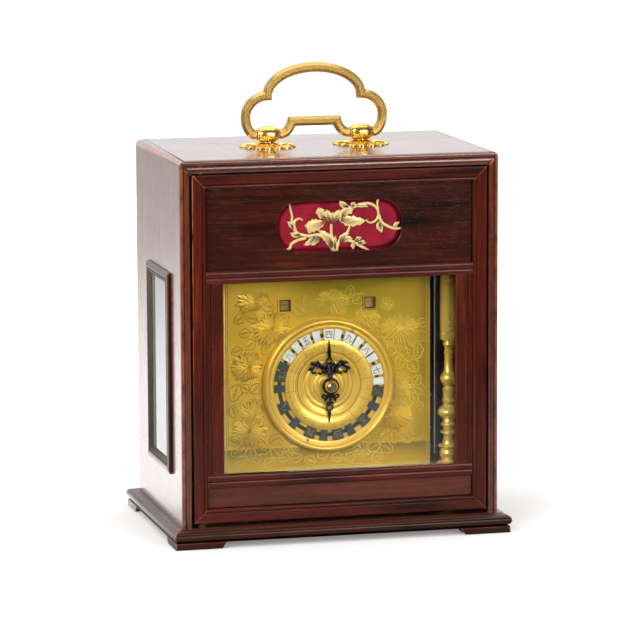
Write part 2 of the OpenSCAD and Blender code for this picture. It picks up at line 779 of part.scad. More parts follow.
module handle() {
    lobe_z = cusp_h / 2 - 0.6;
    x_end = post_x + head_half + head_gap;
    x_start = post_x - head_half - head_gap;
    x_bar = x_start - lobe_rx_in + 0.4;
    color([0.86, 0.66, 0.28]) translate([0, 0, pivot_level]) {
        bar(ellipse_arc(0, cusp_h, post_x, bail_h - cusp_h, 184, -4, 26), bail_r);
        bar([[-x_bar, bar_h], [0, bar_h], [x_bar, bar_h]], bail_r - 0.02);
        for (s = [0, 1]) mirror([s, 0, 0]) {
            bar(concat([[post_x - 1, cusp_h + 0.2]],
                ellipse_arc(post_x, lobe_z, lobe_out, cusp_h - lobe_z, 88, 8, 9),
                ellipse_arc(x_end, lobe_z, post_x + lobe_out - x_end, lobe_z, 0, -90, 8)), bail_r);
            bar(concat(ellipse_arc(x_start, bar_h, lobe_rx_in, bar_h, -90, -180, 8),
                [[x_start - lobe_rx_in, bar_h + bail_r - 0.1]]), bail_r);
            translate([x_start - 0.1, 0, 0]) rotate([0, 90, 0])
                cylinder(r = pivot_r, h = x_end - x_start + 0.2);
        }
    }
}

module handle_posts() {
    color([0.83, 0.62, 0.25]) for (s = [-1, 1]) translate([s * post_x, 0, 0]) difference() {
        union() {
            translate([0, 0, pivot_level]) rotate([0, 90, 0]) rotate_extrude()
                polygon(concat([[0, -head_half]],
                    [for (a = [-60:10:60]) [head_r * cos(a * 0.75), head_half * a / 60]], [[0, head_half]]));
            translate([0, 0, z_under - nut_t - 0.8]) cylinder(r = stem_r, h = top_t + pivot_z + nut_t + 0.8);
            translate([0, 0, z_top + rosette_t]) cylinder(r = 2.1, h = pivot_z - rosette_t);
        }
        translate([0, 0, pivot_level]) rotate([0, 90, 0])
            cylinder(r = pivot_r + run_fit, h = far / 10, center = true);
    }
}

module handle_rosettes() {
    petal_r = rosette_r * sin(180 / rosette_petals) * 0.94;
    color([0.83, 0.62, 0.25]) for (s = [-1, 1]) translate([s * post_x, 0, z_top]) difference() {
        union() {
            linear_extrude(height = rosette_t) {
                circle(r = rosette_r - petal_r);
                for (i = [0:rosette_petals - 1]) rotate(360 * i / rosette_petals)
                    translate([rosette_r - petal_r, 0]) circle(r = petal_r, $fn = 24);
            }
            cylinder(r1 = rosette_r - 2 * petal_r, r2 = 3.4, h = rosette_dome);
        }
        translate([0, 0, -1]) cylinder(r = stem_r + run_fit, h = rosette_dome + 2);
        translate([0, 0, rosette_t]) cylinder(r = 2.1 + run_fit, h = rosette_dome);
    }
}

module handle_nuts() {
    color([0.75, 0.58, 0.25]) for (s = [-1, 1]) translate([s * post_x, 0, z_under - nut_t]) difference() {
        cylinder(r = 3.2, h = nut_t, $fn = 6);
        translate([0, 0, -1]) cylinder(r = stem_r + run_fit, h = nut_t + 2);
    }
}

module column_places() {
    for (x = [-column_x, column_x]) for (y = [-column_y, column_y]) translate([x, y, 0]) children();
}

module movement_base_plate() {
    color([0.80, 0.62, 0.28]) difference() {
        translate([-plate_w / 2, -plate_d / 2, plate_z]) cube([plate_w, plate_d, base_plate_t]);
        column_places() translate([0, 0, plate_z - 1]) cylinder(r = tenon_r + run_fit, h = base_plate_t + 2);
    }
}

module movement_top_plate() {
    color([0.80, 0.62, 0.28]) difference() {
        translate([-plate_w / 2, -plate_d / 2, frame_z1]) cube([plate_w, plate_d, top_plate_t]);
        column_places() translate([0, 0, frame_z1 - 1]) cylinder(r = tenon_r + run_fit, h = top_plate_t + 2);
        translate([crown_at[0], verge_y, frame_z1 - 1]) cylinder(r = verge_r + 0.6, h = top_plate_t + 2);
        translate([hammer_at[0] - 9, hammer_y - slot_half, frame_z1 - 1])
            cube([12, 2 * slot_half, top_plate_t + 2]);
    }
}

module corner_columns() {
    h = frame_clear;
    color([0.83, 0.64, 0.28]) column_places() {
        translate([0, 0, frame_z0]) rotate_extrude() polygon(concat(
            [[0, 0], [foot_r, 0], [foot_r, 4.2]], swell(10, 3, 2.1, 4.2), [[1.7, 13.4]],
            swell(15.1, 0.9, 2, 3), swell(18.1, 0.9, 2, 3), [[2.2, 19.4]], swell(22.8, 2.7, 2, 4.1),
            [[2.1, 29.5], [2.3, 31.5], [1.7, 32.4]], swell(35.4, 2.8, 1.8, 3.2),
            [[1.6, 42], [1.6, 47.3], [column_r - 1.5, 47.6], [column_r - 1.4, 50], [column_r, 50.3],
                [column_r, h], [0, h]]));
        translate([0, 0, base_h]) rotate_extrude() polygon(concat([[0, 0], [foot_r, 0], [foot_r, 1.5]],
            swell(feet_h / 2 + 0.8, feet_h / 2 - 2.3, 2.4, foot_r - 0.3),
            [[foot_r, feet_h - 1.4], [foot_r, feet_h], [0, feet_h]]));
        translate([0, 0, plate_z - 0.5]) cylinder(r = tenon_r, h = base_plate_t + 1);
        translate([0, 0, frame_z1 - 0.5]) cylinder(r = tenon_r, h = top_plate_t + 0.5);
        translate([0, 0, top_plate_z]) cylinder(r1 = tenon_r + 0.9, r2 = tenon_r, h = 1.4);
    }
}

// Places of the arbors that turn between the two train plates
arbor_places = [fusee_at, barrel_at, second_at, third_at, strike_at, pin_at, fly_at, hammer_at];

module train_front_plate() {
    color([0.78, 0.60, 0.27]) difference() {
        slab(-train_front, front_in) rect(-train_hw, train_hw, frame_z0, frame_z1);
        for (p = arbor_places) rod_y(p, (p == fusee_at ? 1.2 : train_pivot_r) + run_fit,
            -train_front - 1, front_in + 1);
        rod_y(crown_at, train_pivot_r + run_fit, -train_front - 1, front_in + 1);
        rod_y([0, dial_cz], 1.5 + run_fit, -train_front - 1, front_in + 1);
        rod_y([0, dial_cz], 3.4, front_in - 0.7, front_in + 1);
    }
}

module train_back_plate() {
    color([0.78, 0.60, 0.27]) {
        difference() {
            slab(train_back, train_back + train_t) rect(-train_hw, train_hw, frame_z0, frame_z1);
            for (p = arbor_places)
                rod_y(p, (p == fusee_at || p == strike_at || p == barrel_at ? 1.9 :
                    p == pin_at ? 1.2 : train_pivot_r) + run_fit, train_back - 1, train_back + train_t + 1);
        }
        difference() {
            translate([crown_at[0] - 2, verge_y - 2, crown_at[1] - crown_r - 5])
                cube([4, train_back - verge_y + 2, 3]);
            translate([crown_at[0], verge_y, crown_at[1] - crown_r - 6])
                cylinder(r = verge_pivot_r + run_fit, h = 6, $fn = 24);
        }
        difference() {
            union() {
                translate([crown_at[0] - 9, potence_y, crown_at[1] - 1.5])
                    cube([10.6, potence_t, 3]);
                translate([crown_at[0] - 9, potence_y, crown_at[1] - 1.5])
                    cube([1.8, train_back - potence_y, 3]);
            }
            rod_y(crown_at, verge_pivot_r + run_fit, potence_y - 1, potence_y + potence_t + 1);
        }
        rod_y(count_at, 1.2, train_back + train_t, train_back + train_t + 3);
    }
}

module dial_plate() {
    window_z = dial_cz + aperture_dz;
    color([0.86, 0.68, 0.25]) {
        difference() {
            slab(dial_y, dial_back_y) difference() {
                rect(-dial_hw, dial_hw, dial_z0, frame_z1);
                for (s = [-1, 1]) translate([s * aperture_x, window_z]) square(aperture, center = true);
            }
            rod_y([0, dial_cz], 1.9, dial_y - 1, dial_back_y + 1);
        }
        for (s = [-1, 1]) {
            for (z = [dial_z0 + 4, frame_z1 - 4])
                rod_y([s * (dial_hw - 5.5), z], 1.4, dial_back_y, -train_front);
            rod_y([s * aperture_x, window_z - disc_dz], disc_stud_r, dial_back_y, disc_y + disc_t + 0.3);
            slab(dial_y - 0.5, dial_y) translate([s * aperture_x, window_z]) difference() {
                square(aperture + 1.2, center = true);
                square(aperture, center = true);
            }
        }
    }
}

// Ring about the dial's middle: its section is drawn as radius and distance before the dial plate
module dial_turned(profile) {
    translate([0, dial_y, dial_cz]) rotate([90, 0, 0]) rotate_extrude($fn = 96) polygon(profile);
}

module dial_bezel() {
    ledge = dial_y - ledge_y;
    color([0.84, 0.66, 0.26]) {
        dial_turned(concat([[slot_out, 0], [bezel_r, 0], [bezel_r, ring_h - 0.4]],
            [for (a = [0:30:180]) [(bezel_r + rim_r) / 2 + (bezel_r - rim_r) / 2 * cos(a),
                ring_h - 0.4 + (rim_h + 0.4) * sin(a)]],
            [[rim_r, ring_h], [plaque_out + seat_gap, ring_h], [plaque_out + seat_gap, ledge],
                [slot_out, ledge]]));
        for (a = [24, 202])
            rod_y([0, dial_cz] + polar((rim_r + plaque_out) / 2 + 0.3, 90 - a), 0.6,
                ring_y - 0.5, ring_y + 0.1);
    }
}

module dial_centre() {
    ledge = dial_y - ledge_y;
    color([0.84, 0.66, 0.26]) dial_turned([[1.9, 0], [slot_in, 0], [slot_in, ledge],
        [plaque_in - seat_gap, ledge], [plaque_in - seat_gap, ring_h], [12.2, ring_h], [11.8, ring_h - 0.5],
        [9.4, ring_h - 0.9], [9, ring_h - 0.5], [7.6, ring_h - 0.7], [7.4, ring_h - 0.2], [6.1, ring_h],
        [5.9, ring_h + 0.4], [4.4, ring_h + 0.6], [4.2, ring_h + 0.9], [1.9, ring_h + 0.9]]);
}

module calendar_disc(s, n) {
    at = [s * aperture_x, dial_cz + aperture_dz - disc_dz];
    color([0.80, 0.78, 0.70]) difference() {
        slab(disc_y, disc_y + disc_t) translate(at) difference() {
            circle(r = disc_r);
            for (i = [0:n - 1]) rotate(360 * (i + 0.5) / n) translate([disc_r, 0]) circle(r = 0.8, $fn = 16);
        }
        rod_y(at, disc_stud_r + run_fit, disc_y - 1, disc_y + disc_t + 1);
    }
}

module stem_calendar_disc() {
    calendar_disc(-1, 10);
}

module branch_calendar_disc() {
    calendar_disc(1, 12);
}

// A sliding plaque: part of a flat ring, with a tongue in the slot behind it
module plaque(mid, width) {
    a = 90 - mid;
    half = width / 2;
    slab(ring_y, ring_y + plaque_t) translate([0, dial_cz]) polygon(concat(
        arc(0, 0, plaque_out, a - half, a + half, 2), arc(0, 0, plaque_in, a + half, a - half, 2)));
    slab(ring_y + plaque_t, dial_y - seat_gap) translate([0, dial_cz]) polygon(concat(
        arc(0, 0, slot_out - seat_gap, a - half / 2, a + half / 2, 2),
        arc(0, 0, slot_in + seat_gap, a + half / 2, a - half / 2, 2)));
}

module hour_plaque(k) {
    tint = k >= 4 && k <= 9 ? [0.20, 0.23, 0.22] : [0.80, 0.80, 0.75];
    color(tint) {
        plaque(plaque_deg[k][0], wide_deg);
        plaque(plaque_deg[k][1], narrow_deg);
    }
}

// A small open ring
module eye(at, r) {
    translate(at) difference() {
        circle(r = r, $fn = 32);
        circle(r = r * 0.52, $fn = 32);
    }
}

// The hand: a pointer above and a tail below, with scrolled leaves at both sides
module hand() {
    eye_up = hand_up * 0.53;
    eye_low = -hand_down * 0.71;
    y0 = dial_y - hand_out;
    y1 = y0 + hand_t;
    color([0.08, 0.09, 0.13]) translate([0, 0, dial_cz]) difference() {
        union() {
            slab(y0, y1) {
                circle(r = 3.2);
                polygon([[-0.7, eye_up + 1.4], [0, hand_up], [0.7, eye_up + 1.4]]);
                eye([0, eye_up], 2);
                rect(-0.6, 0.6, 2, eye_up - 1.4);
                rect(-0.6, 0.6, eye_low + 0.9, -2);
                eye([0, eye_low], 1.5);
                polygon([[-0.6, eye_low - 1], [0.6, eye_low - 1], [0, -hand_down]]);
            }
            for (s = [0, 1]) mirror([s, 0, 0]) slab(y0, y1) {
                leaf([0.6, 1.6], 8.2, 1.3, 38);
                leaf([0.2, 2.6], 6.4, 0.9, 66);
                eye([5.9, 7.6], 1.5);
                eye([2.9, 8.4], 1.2);
                leaf([0.4, -1.8], 4.4, 1, -52);
                eye([2.9, -5.2], 1.1);
            }
        }
        rod_y([0, 0], arbor_r, y0 - 1, dial_y);
    }
}

// Toothed outline with one tooth on the first axis. The flanks are straight.
function teeth(n, add, ded, w_tip, w_root) =
    let (rp = gear_m * n / 2, p = 360 / n)
    [for (i = [0:n - 1]) for (q = [[-w_root, -ded], [-w_tip, add], [w_tip, add], [w_root, -ded]])
        polar(rp + q[1] * gear_m, (i + q[0]) * p)];

module wheel_outline(n, phase, holes) {
    rp = gear_m * n / 2;
    rotate(phase) difference() {
        polygon(teeth(n, 0.75, 1.15, 0.12, 0.26));
        if (holes > 0) for (i = [0:holes - 1])
            rotate(360 * (i + 0.5) / holes) translate([rp * 0.58, 0]) circle(r = rp * 0.25, $fn = 32);
    }
}

module pinion_outline(n, phase) {
    rotate(phase) polygon(teeth(n, 0.7, 1.2, 0.10, 0.22));
}

module wheel(at, n, phase, holes, y0, t) {
    slab(y0, y0 + t) translate(at) wheel_outline(n, phase, holes);
}

module pinion(at, n, phase, y0, y1) {
    slab(y0, y1) translate(at) pinion_outline(n, phase);
}

// Arbor with a pivot at each end in the train plates
module arbor(at) {
    rod_y(at, wheel_arbor_r, front_in + 0.2, train_back - 0.2);
    rod_y(at, train_pivot_r, -train_front + 0.1, train_back + train_t - 0.1);
}

module winding_square(at, y0) {
    slab(y0, y0 + 7) translate(at) square(2 * square_half, center = true);
}

module hand_arbor() {
    c = [0, dial_cz];
    color([0.72, 0.70, 0.68]) {
        rod_y(c, arbor_r, dial_y - arbor_out, dial_y);
        rod_y(c, 1.5, dial_y - hand_out + hand_t, front_in - 0.1);
        translate([0, dial_y - hand_out, dial_cz]) difference() {
            sphere(r = hub_r);
            translate([0, 2 * hub_r, 0]) cube(4 * hub_r, center = true);
        }
        rod_y(c, 3, front_in - 0.6, front_in);
        wheel(c, wheel_n, 0, 5, hour_wheel_y, hour_wheel_t);
    }
}

module fusee() {
    grooves = [for (i = [0:fusee_turns - 1]) each let (y = drum_y0 + 1 + i * fusee_pitch,
        r = fusee_r1 + (fusee_r2 - fusee_r1) * i / (fusee_turns - 1))
        [[r, y + 0.15 * fusee_pitch], [r - 0.6, y + 0.35 * fusee_pitch],
        [r - 0.6, y + 0.7 * fusee_pitch], [r, y + 0.9 * fusee_pitch]]];
    color([0.80, 0.60, 0.26]) {
        rod_y(fusee_at, 1.2, hour_wheel_y - 0.1, front_in + 1);
        rod_y(fusee_at, 1.9, front_in + 0.15, train_back + train_t + 0.3);
        winding_square(fusee_at, train_back + train_t + 0.2);
        pinion(fusee_at, hour_leaf_n, 180 + 180 / hour_leaf_n, hour_wheel_y - 0.1, -train_front - 0.1);
        wheel(fusee_at, great_n, to_second, 0, great_y, wheel_t);
        translate([fusee_at[0], 0, fusee_at[1]]) rotate([-90, 0, 0]) rotate_extrude()
            polygon(concat([[0, great_back], [fusee_r1 + 0.8, great_back], [fusee_r1 + 0.8, drum_y0 + 1]],
                grooves, [[fusee_r2, drum_y1], [0, drum_y1]]));
    }
}

module mainspring_barrel() {
    color([0.80, 0.60, 0.26]) {
        translate([barrel_at[0], 0, barrel_at[1]]) rotate([-90, 0, 0]) rotate_extrude()
            polygon([[0, drum_y0 - 1], [barrel_r + 0.3, drum_y0 - 1], [barrel_r + 0.3, drum_y0],
                [barrel_r - 0.4, drum_y0], [barrel_r - 0.4, drum_y1], [barrel_r + 0.3, drum_y1],
                [barrel_r + 0.3, drum_y1 + 1], [0, drum_y1 + 1]]);
        rod_y(barrel_at, 1.9, drum_y1, train_back + train_t + 0.3);
        rod_y(barrel_at, 1.9, front_in + 0.2, drum_y0);
        rod_y(barrel_at, train_pivot_r, -train_front + 0.1, front_in + 1);
        winding_square(barrel_at, train_back + train_t + 0.2);
    }
}

// Straight run of the chain, on the outer sides of the fusee's second turn and the barrel
module fusee_chain() {
    links = 8;
    chain_gap = 0.3;
    r_fusee = fusee_r1 + (fusee_r2 - fusee_r1) / (fusee_turns - 1) + chain_gap;
    r_barrel = barrel_r - 0.4 + chain_gap;
    along = barrel_at - fusee_at;
    lean = asin((r_fusee - r_barrel) / norm(along));
    run = norm(along) * cos(lean);
    y = drum_y0 + 1 + 1.5 * fusee_pitch;
    color([0.45, 0.42, 0.38]) for (i = [0:links - 1])
        slab(y - (i % 2 == 0 ? 0.4 : 0.25), y + (i % 2 == 0 ? 0.4 : 0.25)) translate(fusee_at)
            rotate(atan2(along[1], along[0]) - lean)
                translate([run * i / links - 0.2, r_fusee]) square([run / links + 0.4, 0.7]);
}

module second_wheel() {
    color([0.82, 0.63, 0.28]) {
        arbor(second_at);
        pinion(second_at, leaf_n, to_second + 180 + 180 / leaf_n, great_y - 0.2, great_y + wheel_t + 0.2);
        wheel(second_at, wheel_n, to_third, 5, far_wheel_y, wheel_t);
    }
}

module third_wheel() {
    color([0.82, 0.63, 0.28]) {
        arbor(third_at);
        pinion(third_at, leaf_n, to_third + 180 + 180 / leaf_n, far_wheel_y - 0.3, far_wheel_y + wheel_t + 0.3);
        wheel(third_at, wheel_n, to_crown, 5, near_wheel_y, wheel_t);
    }
}

module crown_wheel() {
    n = 21;
    rim = 1;
    color([0.82, 0.63, 0.28]) {
        rod_y(crown_at, train_pivot_r, -train_front + 0.1, front_in + 1);
        rod_y(crown_at, wheel_arbor_r, front_in + 0.2, crown_y1);
        rod_y(crown_at, verge_pivot_r, crown_y1 - 0.5, potence_y + potence_t - 0.1);
        pinion(crown_at, leaf_n, to_crown + 180 + 180 / leaf_n, near_wheel_y - 0.3,
            near_wheel_y + wheel_t + 0.3);
        difference() {
            rod_y(crown_at, crown_r, crown_y0, crown_y1 - 1.4);
            rod_y(crown_at, crown_r - rim, crown_y0 + 1, crown_y1);
            for (i = [0:4]) rod_y(crown_at + polar(crown_r * 0.5, 72 * i), 1.5, crown_y0 - 1, crown_y1);
        }
        for (i = [0:n - 1]) translate([crown_at[0], crown_y1 - 1.5, crown_at[1]]) rotate([0, 360 * i / n, 0])
            translate([crown_r - rim + 0.1, 0, 0]) rotate([0, 90, 0]) linear_extrude(height = rim - 0.25)
                polygon([[0, 0], [1.3, 0], [0.3, 1.5], [0, 1.5]]);
    }
}

module balance() {
    z = top_plate_z + balance_lift;
    low = crown_at[1] - crown_r - 5;
    pallet = crown_y1 + 0.3;
    color([0.80, 0.68, 0.40]) translate([crown_at[0], verge_y, 0]) {
        translate([0, 0, low + 3.2]) cylinder(r = verge_r, h = z + 2.4 - low - 3.2);
        translate([0, 0, low + 0.4]) cylinder(r = verge_pivot_r, h = z + 4.4 - low - 0.4, $fn = 24);
        for (s = [-1, 1]) translate([0, 0, crown_at[1] + s * (crown_r - 0.6)]) rotate([0, 0, s * 50 + 270])
            translate([0, -0.3, -0.8]) cube([verge_y - pallet, 0.6, 1.6]);
        translate([0, 0, z]) {
            difference() {
                cylinder(r = balance_r, h = balance_t, $fn = 72);
                translate([0, 0, -1]) cylinder(r = balance_r - 1.6, h = balance_t + 2, $fn = 72);
            }
            for (a = [0, 120, 240]) rotate(a) translate([0, -0.9, 0]) cube([balance_r - 1, 1.8, balance_t]);
            cylinder(r = 2, h = balance_t);
        }
    }
}

module balance_cock() {
    z = top_plate_z + balance_lift + balance_t + 2.6;
    x_foot = balance_r + 3.5;
    color([0.82, 0.63, 0.28]) translate([crown_at[0], verge_y, 0]) difference() {
        union() {
            translate([x_foot, -4, top_plate_z]) cube([5, 8, z - top_plate_z]);
            translate([0, 0, z]) linear_extrude(height = 1.6) {
                circle(r = 3.4);
                polygon([[0, -3.4], [x_foot + 5, -4], [x_foot + 5, 4], [0, 3.4]]);
            }
        }
        translate([0, 0, z - 1]) cylinder(r = verge_pivot_r + run_fit, h = 4, $fn = 24);
    }
}

module strike_barrel() {
    color([0.80, 0.60, 0.26]) {
        wheel(strike_at, great_n, to_pin, 0, great_y, wheel_t);
        translate([strike_at[0], 0, strike_at[1]]) rotate([-90, 0, 0]) rotate_extrude()
            polygon([[0, great_back], [strike_r, great_back], [strike_r, drum_y1],
                [strike_r - 1, drum_y1 + 0.5], [0, drum_y1 + 0.5]]);
        rod_y(strike_at, 1.9, drum_y1, train_back + train_t + 0.3);
        rod_y(strike_at, 1.9, front_in + 0.2, great_y);
        rod_y(strike_at, train_pivot_r, -train_front + 0.1, front_in + 1);
        winding_square(strike_at, train_back + train_t + 0.2);
    }
}

module pin_wheel() {
    n = 10;
    color([0.82, 0.63, 0.28]) {
        rod_y(pin_at, wheel_arbor_r, front_in + 0.2, train_back);
        rod_y(pin_at, train_pivot_r, -train_front + 0.1, front_in + 1);
        rod_y(pin_at, 1.2, train_back - 0.5, train_back + train_t + 1);
        pinion(pin_at, leaf_n, to_pin + 180 + 180 / leaf_n, great_y - 0.2, great_y + wheel_t + 0.2);
        pinion(pin_at, count_leaf_n, to_count + 180 / count_leaf_n, train_back + train_t + 0.3,
            train_back + train_t + 2.6);
        wheel(pin_at, wheel_n, to_fly, 5, far_wheel_y, wheel_t);
        for (i = [0:n - 1]) rod_y(pin_at + polar(pin_circle, 360 * i / n + 5), 0.6, far_wheel_y, tail_y + 1);
    }
}

module fly() {
    color([0.82, 0.66, 0.32]) {
        arbor(fly_at);
        pinion(fly_at, leaf_n, to_fly + 180 + 180 / leaf_n, far_wheel_y - 0.3, far_wheel_y + wheel_t + 0.3);
        slab(-6, 5) translate(fly_at) rotate(20) square([13, 0.6], center = true);
        rod_y(fly_at, 1.7, -7, 6);
    }
}

module count_wheel() {
    y0 = train_back + train_t + 0.9;
    // Blows of the Japanese hours, each followed by a single or double half-hour blow
    blows = [9, 1, 8, 2, 7, 1, 6, 2, 5, 1, 4, 2, 9, 1, 8, 2, 7, 1, 6, 2, 5, 1, 4, 2];
    total = [for (i = 0, s = 0; i <= len(blows); s = s + (i < len(blows) ? blows[i] : 0), i = i + 1) s];
    rim = gear_m * count_n / 2 - 2.2;
    color([0.82, 0.63, 0.28]) difference() {
        union() {
            wheel(count_at, count_n, to_count + 180, 5, y0, 0.9);
            rod_y(count_at, 2.4, y0, y0 + 1.8);
            slab(y0 + 0.8, y0 + 1.8) translate(count_at) difference() {
                circle(r = rim, $fn = 96);
                circle(r = rim - 1.6, $fn = 96);
                for (i = [0:len(blows) - 1]) rotate(360 * total[i] / total[len(blows)])
                    translate([rim - 0.6, 0]) square([2.4, 0.8], center = true);
            }
        }
        rod_y(count_at, 1.2 + run_fit, y0 - 1, y0 + 3);
    }
}

module hammer() {
    top = [hammer_at[0], hammer_at[1] + hammer_arm];
    reach = norm(pin_at - hammer_at) - pin_circle - 0.6 - 0.35;
    dir = atan2(pin_at[1] - hammer_at[1], pin_at[0] - hammer_at[0]);
    head_x = -bell_r - hammer_gap;
    color([0.74, 0.72, 0.68]) {
        arbor(hammer_at);
        rod_y(hammer_at, 1.7, hammer_y - 1.5, tail_y + 0.8);
        slab(tail_y - 0.7, tail_y + 0.7) translate(hammer_at) rotate(dir) translate([0, -0.8])
            square([reach, 1.6]);
        slab(hammer_y - 0.8, hammer_y + 0.8) rect(top[0] - 0.9, top[0] + 0.9, hammer_at[1], top[1] + 2);
        translate([top[0] - 2, hammer_y, top[1]]) rotate([0, 90, 0]) cylinder(r = 2.6, h = head_x - top[0] + 2);
    }
}

// Wall of the bell as radius and height above its rim
function bell_side(inset) = [for (a = [0:7.5:82.5]) [(bell_r - inset) * cos(a), (bell_h - inset) * sin(a)]];

module bell() {
    color([0.78, 0.62, 0.34]) translate([0, bell_y, bell_z]) rotate_extrude($fn = 96) polygon(concat(
        bell_side(0), [[stand_r, bell_h], [stand_r, bell_h - bell_t]],
        [for (i = [0:11]) bell_side(bell_t)[11 - i]]));
}

module bell_stand() {
    z_arm = bell_z + bell_h + 0.8;
    arm_t = 1.8;
    color([0.74, 0.56, 0.26]) {
        translate([0, stand_y, top_plate_z]) cylinder(r = stand_r, h = z_arm - top_plate_z + arm_t);
        translate([0, stand_y, top_plate_z]) cylinder(r = stand_r + 1, h = 1.5);
        translate([-1.8, bell_y, z_arm]) cube([3.6, stand_y - bell_y, arm_t]);
        translate([0, stand_y, z_arm]) cylinder(r = 2.2, h = arm_t);
        translate([0, bell_y, z_arm - 4.5]) cylinder(r = stand_r - run_fit, h = 4.5 + arm_t);
        translate([0, bell_y, z_arm - 0.8]) cylinder(r = 2.8, h = 0.8 + arm_t);
        translate([0, bell_y, z_arm - 4]) cylinder(r = 2.8, h = 2);
    }
}

base_moulding();
floor_board();
case_left_side();
case_right_side();
case_top();
side_window_glass();
side_window_beads();
back_door();
back_door_knob();
door_pivots();
door_frame();
door_window_frame();
door_upper_panel();
door_lower_panel();
door_glass();
sound_fret();
silk_backing();
handle();
handle_posts();
handle_rosettes();
handle_nuts();
movement_base_plate();
movement_top_plate();
corner_columns();
train_front_plate();
train_back_plate();
dial_plate();
dial_bezel();
dial_centre();
stem_calendar_disc();
branch_calendar_disc();
hour_plaque(0);  // hour_plaque_1
hour_plaque(1);  // hour_plaque_2
hour_plaque(2);  // hour_plaque_3
hour_plaque(3);  // hour_plaque_4
hour_plaque(4);  // hour_plaque_5
hour_plaque(5);  // hour_plaque_6
hour_plaque(6);  // hour_plaque_7
hour_plaque(7);  // hour_plaque_8
hour_plaque(8);  // hour_plaque_9
hour_plaque(9);  // hour_plaque_10
hour_plaque(10);  // hour_plaque_11
hour_plaque(11);  // hour_plaque_12
hand();
hand_arbor();
mainspring_barrel();
fusee();
fusee_chain();
second_wheel();
third_wheel();
crown_wheel();
balance();
balance_cock();
strike_barrel();
pin_wheel();
fly();
count_wheel();
hammer();
bell();
bell_stand();
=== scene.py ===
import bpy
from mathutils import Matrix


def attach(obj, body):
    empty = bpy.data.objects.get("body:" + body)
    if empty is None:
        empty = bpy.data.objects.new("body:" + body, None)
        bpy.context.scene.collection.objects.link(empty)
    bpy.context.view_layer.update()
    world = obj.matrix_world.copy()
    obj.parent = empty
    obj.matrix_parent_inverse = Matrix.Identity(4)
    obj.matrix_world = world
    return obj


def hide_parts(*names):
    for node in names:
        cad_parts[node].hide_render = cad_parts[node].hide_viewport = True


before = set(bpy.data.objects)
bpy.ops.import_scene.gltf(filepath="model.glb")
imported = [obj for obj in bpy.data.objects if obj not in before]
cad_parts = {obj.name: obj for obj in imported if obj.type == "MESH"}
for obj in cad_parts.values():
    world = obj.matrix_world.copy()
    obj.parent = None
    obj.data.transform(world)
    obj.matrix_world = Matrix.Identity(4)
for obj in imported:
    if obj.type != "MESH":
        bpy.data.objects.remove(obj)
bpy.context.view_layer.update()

import math
import random

import bmesh
import bpy
from mathutils import Matrix, Vector

# Lengths are in millimetres. Inside a material, places and the scales of noises go by metres.
# X is to the right, Y to the back, Z up.
MM = 0.001
TOP_Z, BASE_Z = 142.0, 7.0
DOOR_HW, DOOR_Z0, DOOR_Z1 = 55.6, 8.4, 136.75
WIN_Z0, WIN_Z1 = 26.1, 96.55
CART_Z, FRET_Y = 116.25, -37.0
DIAL_Y, DIAL_Z = -18.5, 54.6
PLATE_Z, PLATE_HALF = 59.25, (39.55, 36.75)  # the dial plate's middle and half sizes
PIVOT_Z, POST_X = 146.5, 17.9
SIDES = ((-1, "left"), (1, "right"))
AXES = {"x": ((1, 0, 0), (0, 1, 0)), "y": ((0, 1, 0), (-1, 0, 0)), "z": ((0, 0, 1), (0, 1, 0))}
# Outputs of the nodes Texture Coordinate and Light Path
GENERATED, NORMAL, OBJECT = 0, 1, 3
CAMERA_RAY, SHADOW_RAY, GLOSSY_RAY, THROUGH_RAY = 0, 1, 3, 6


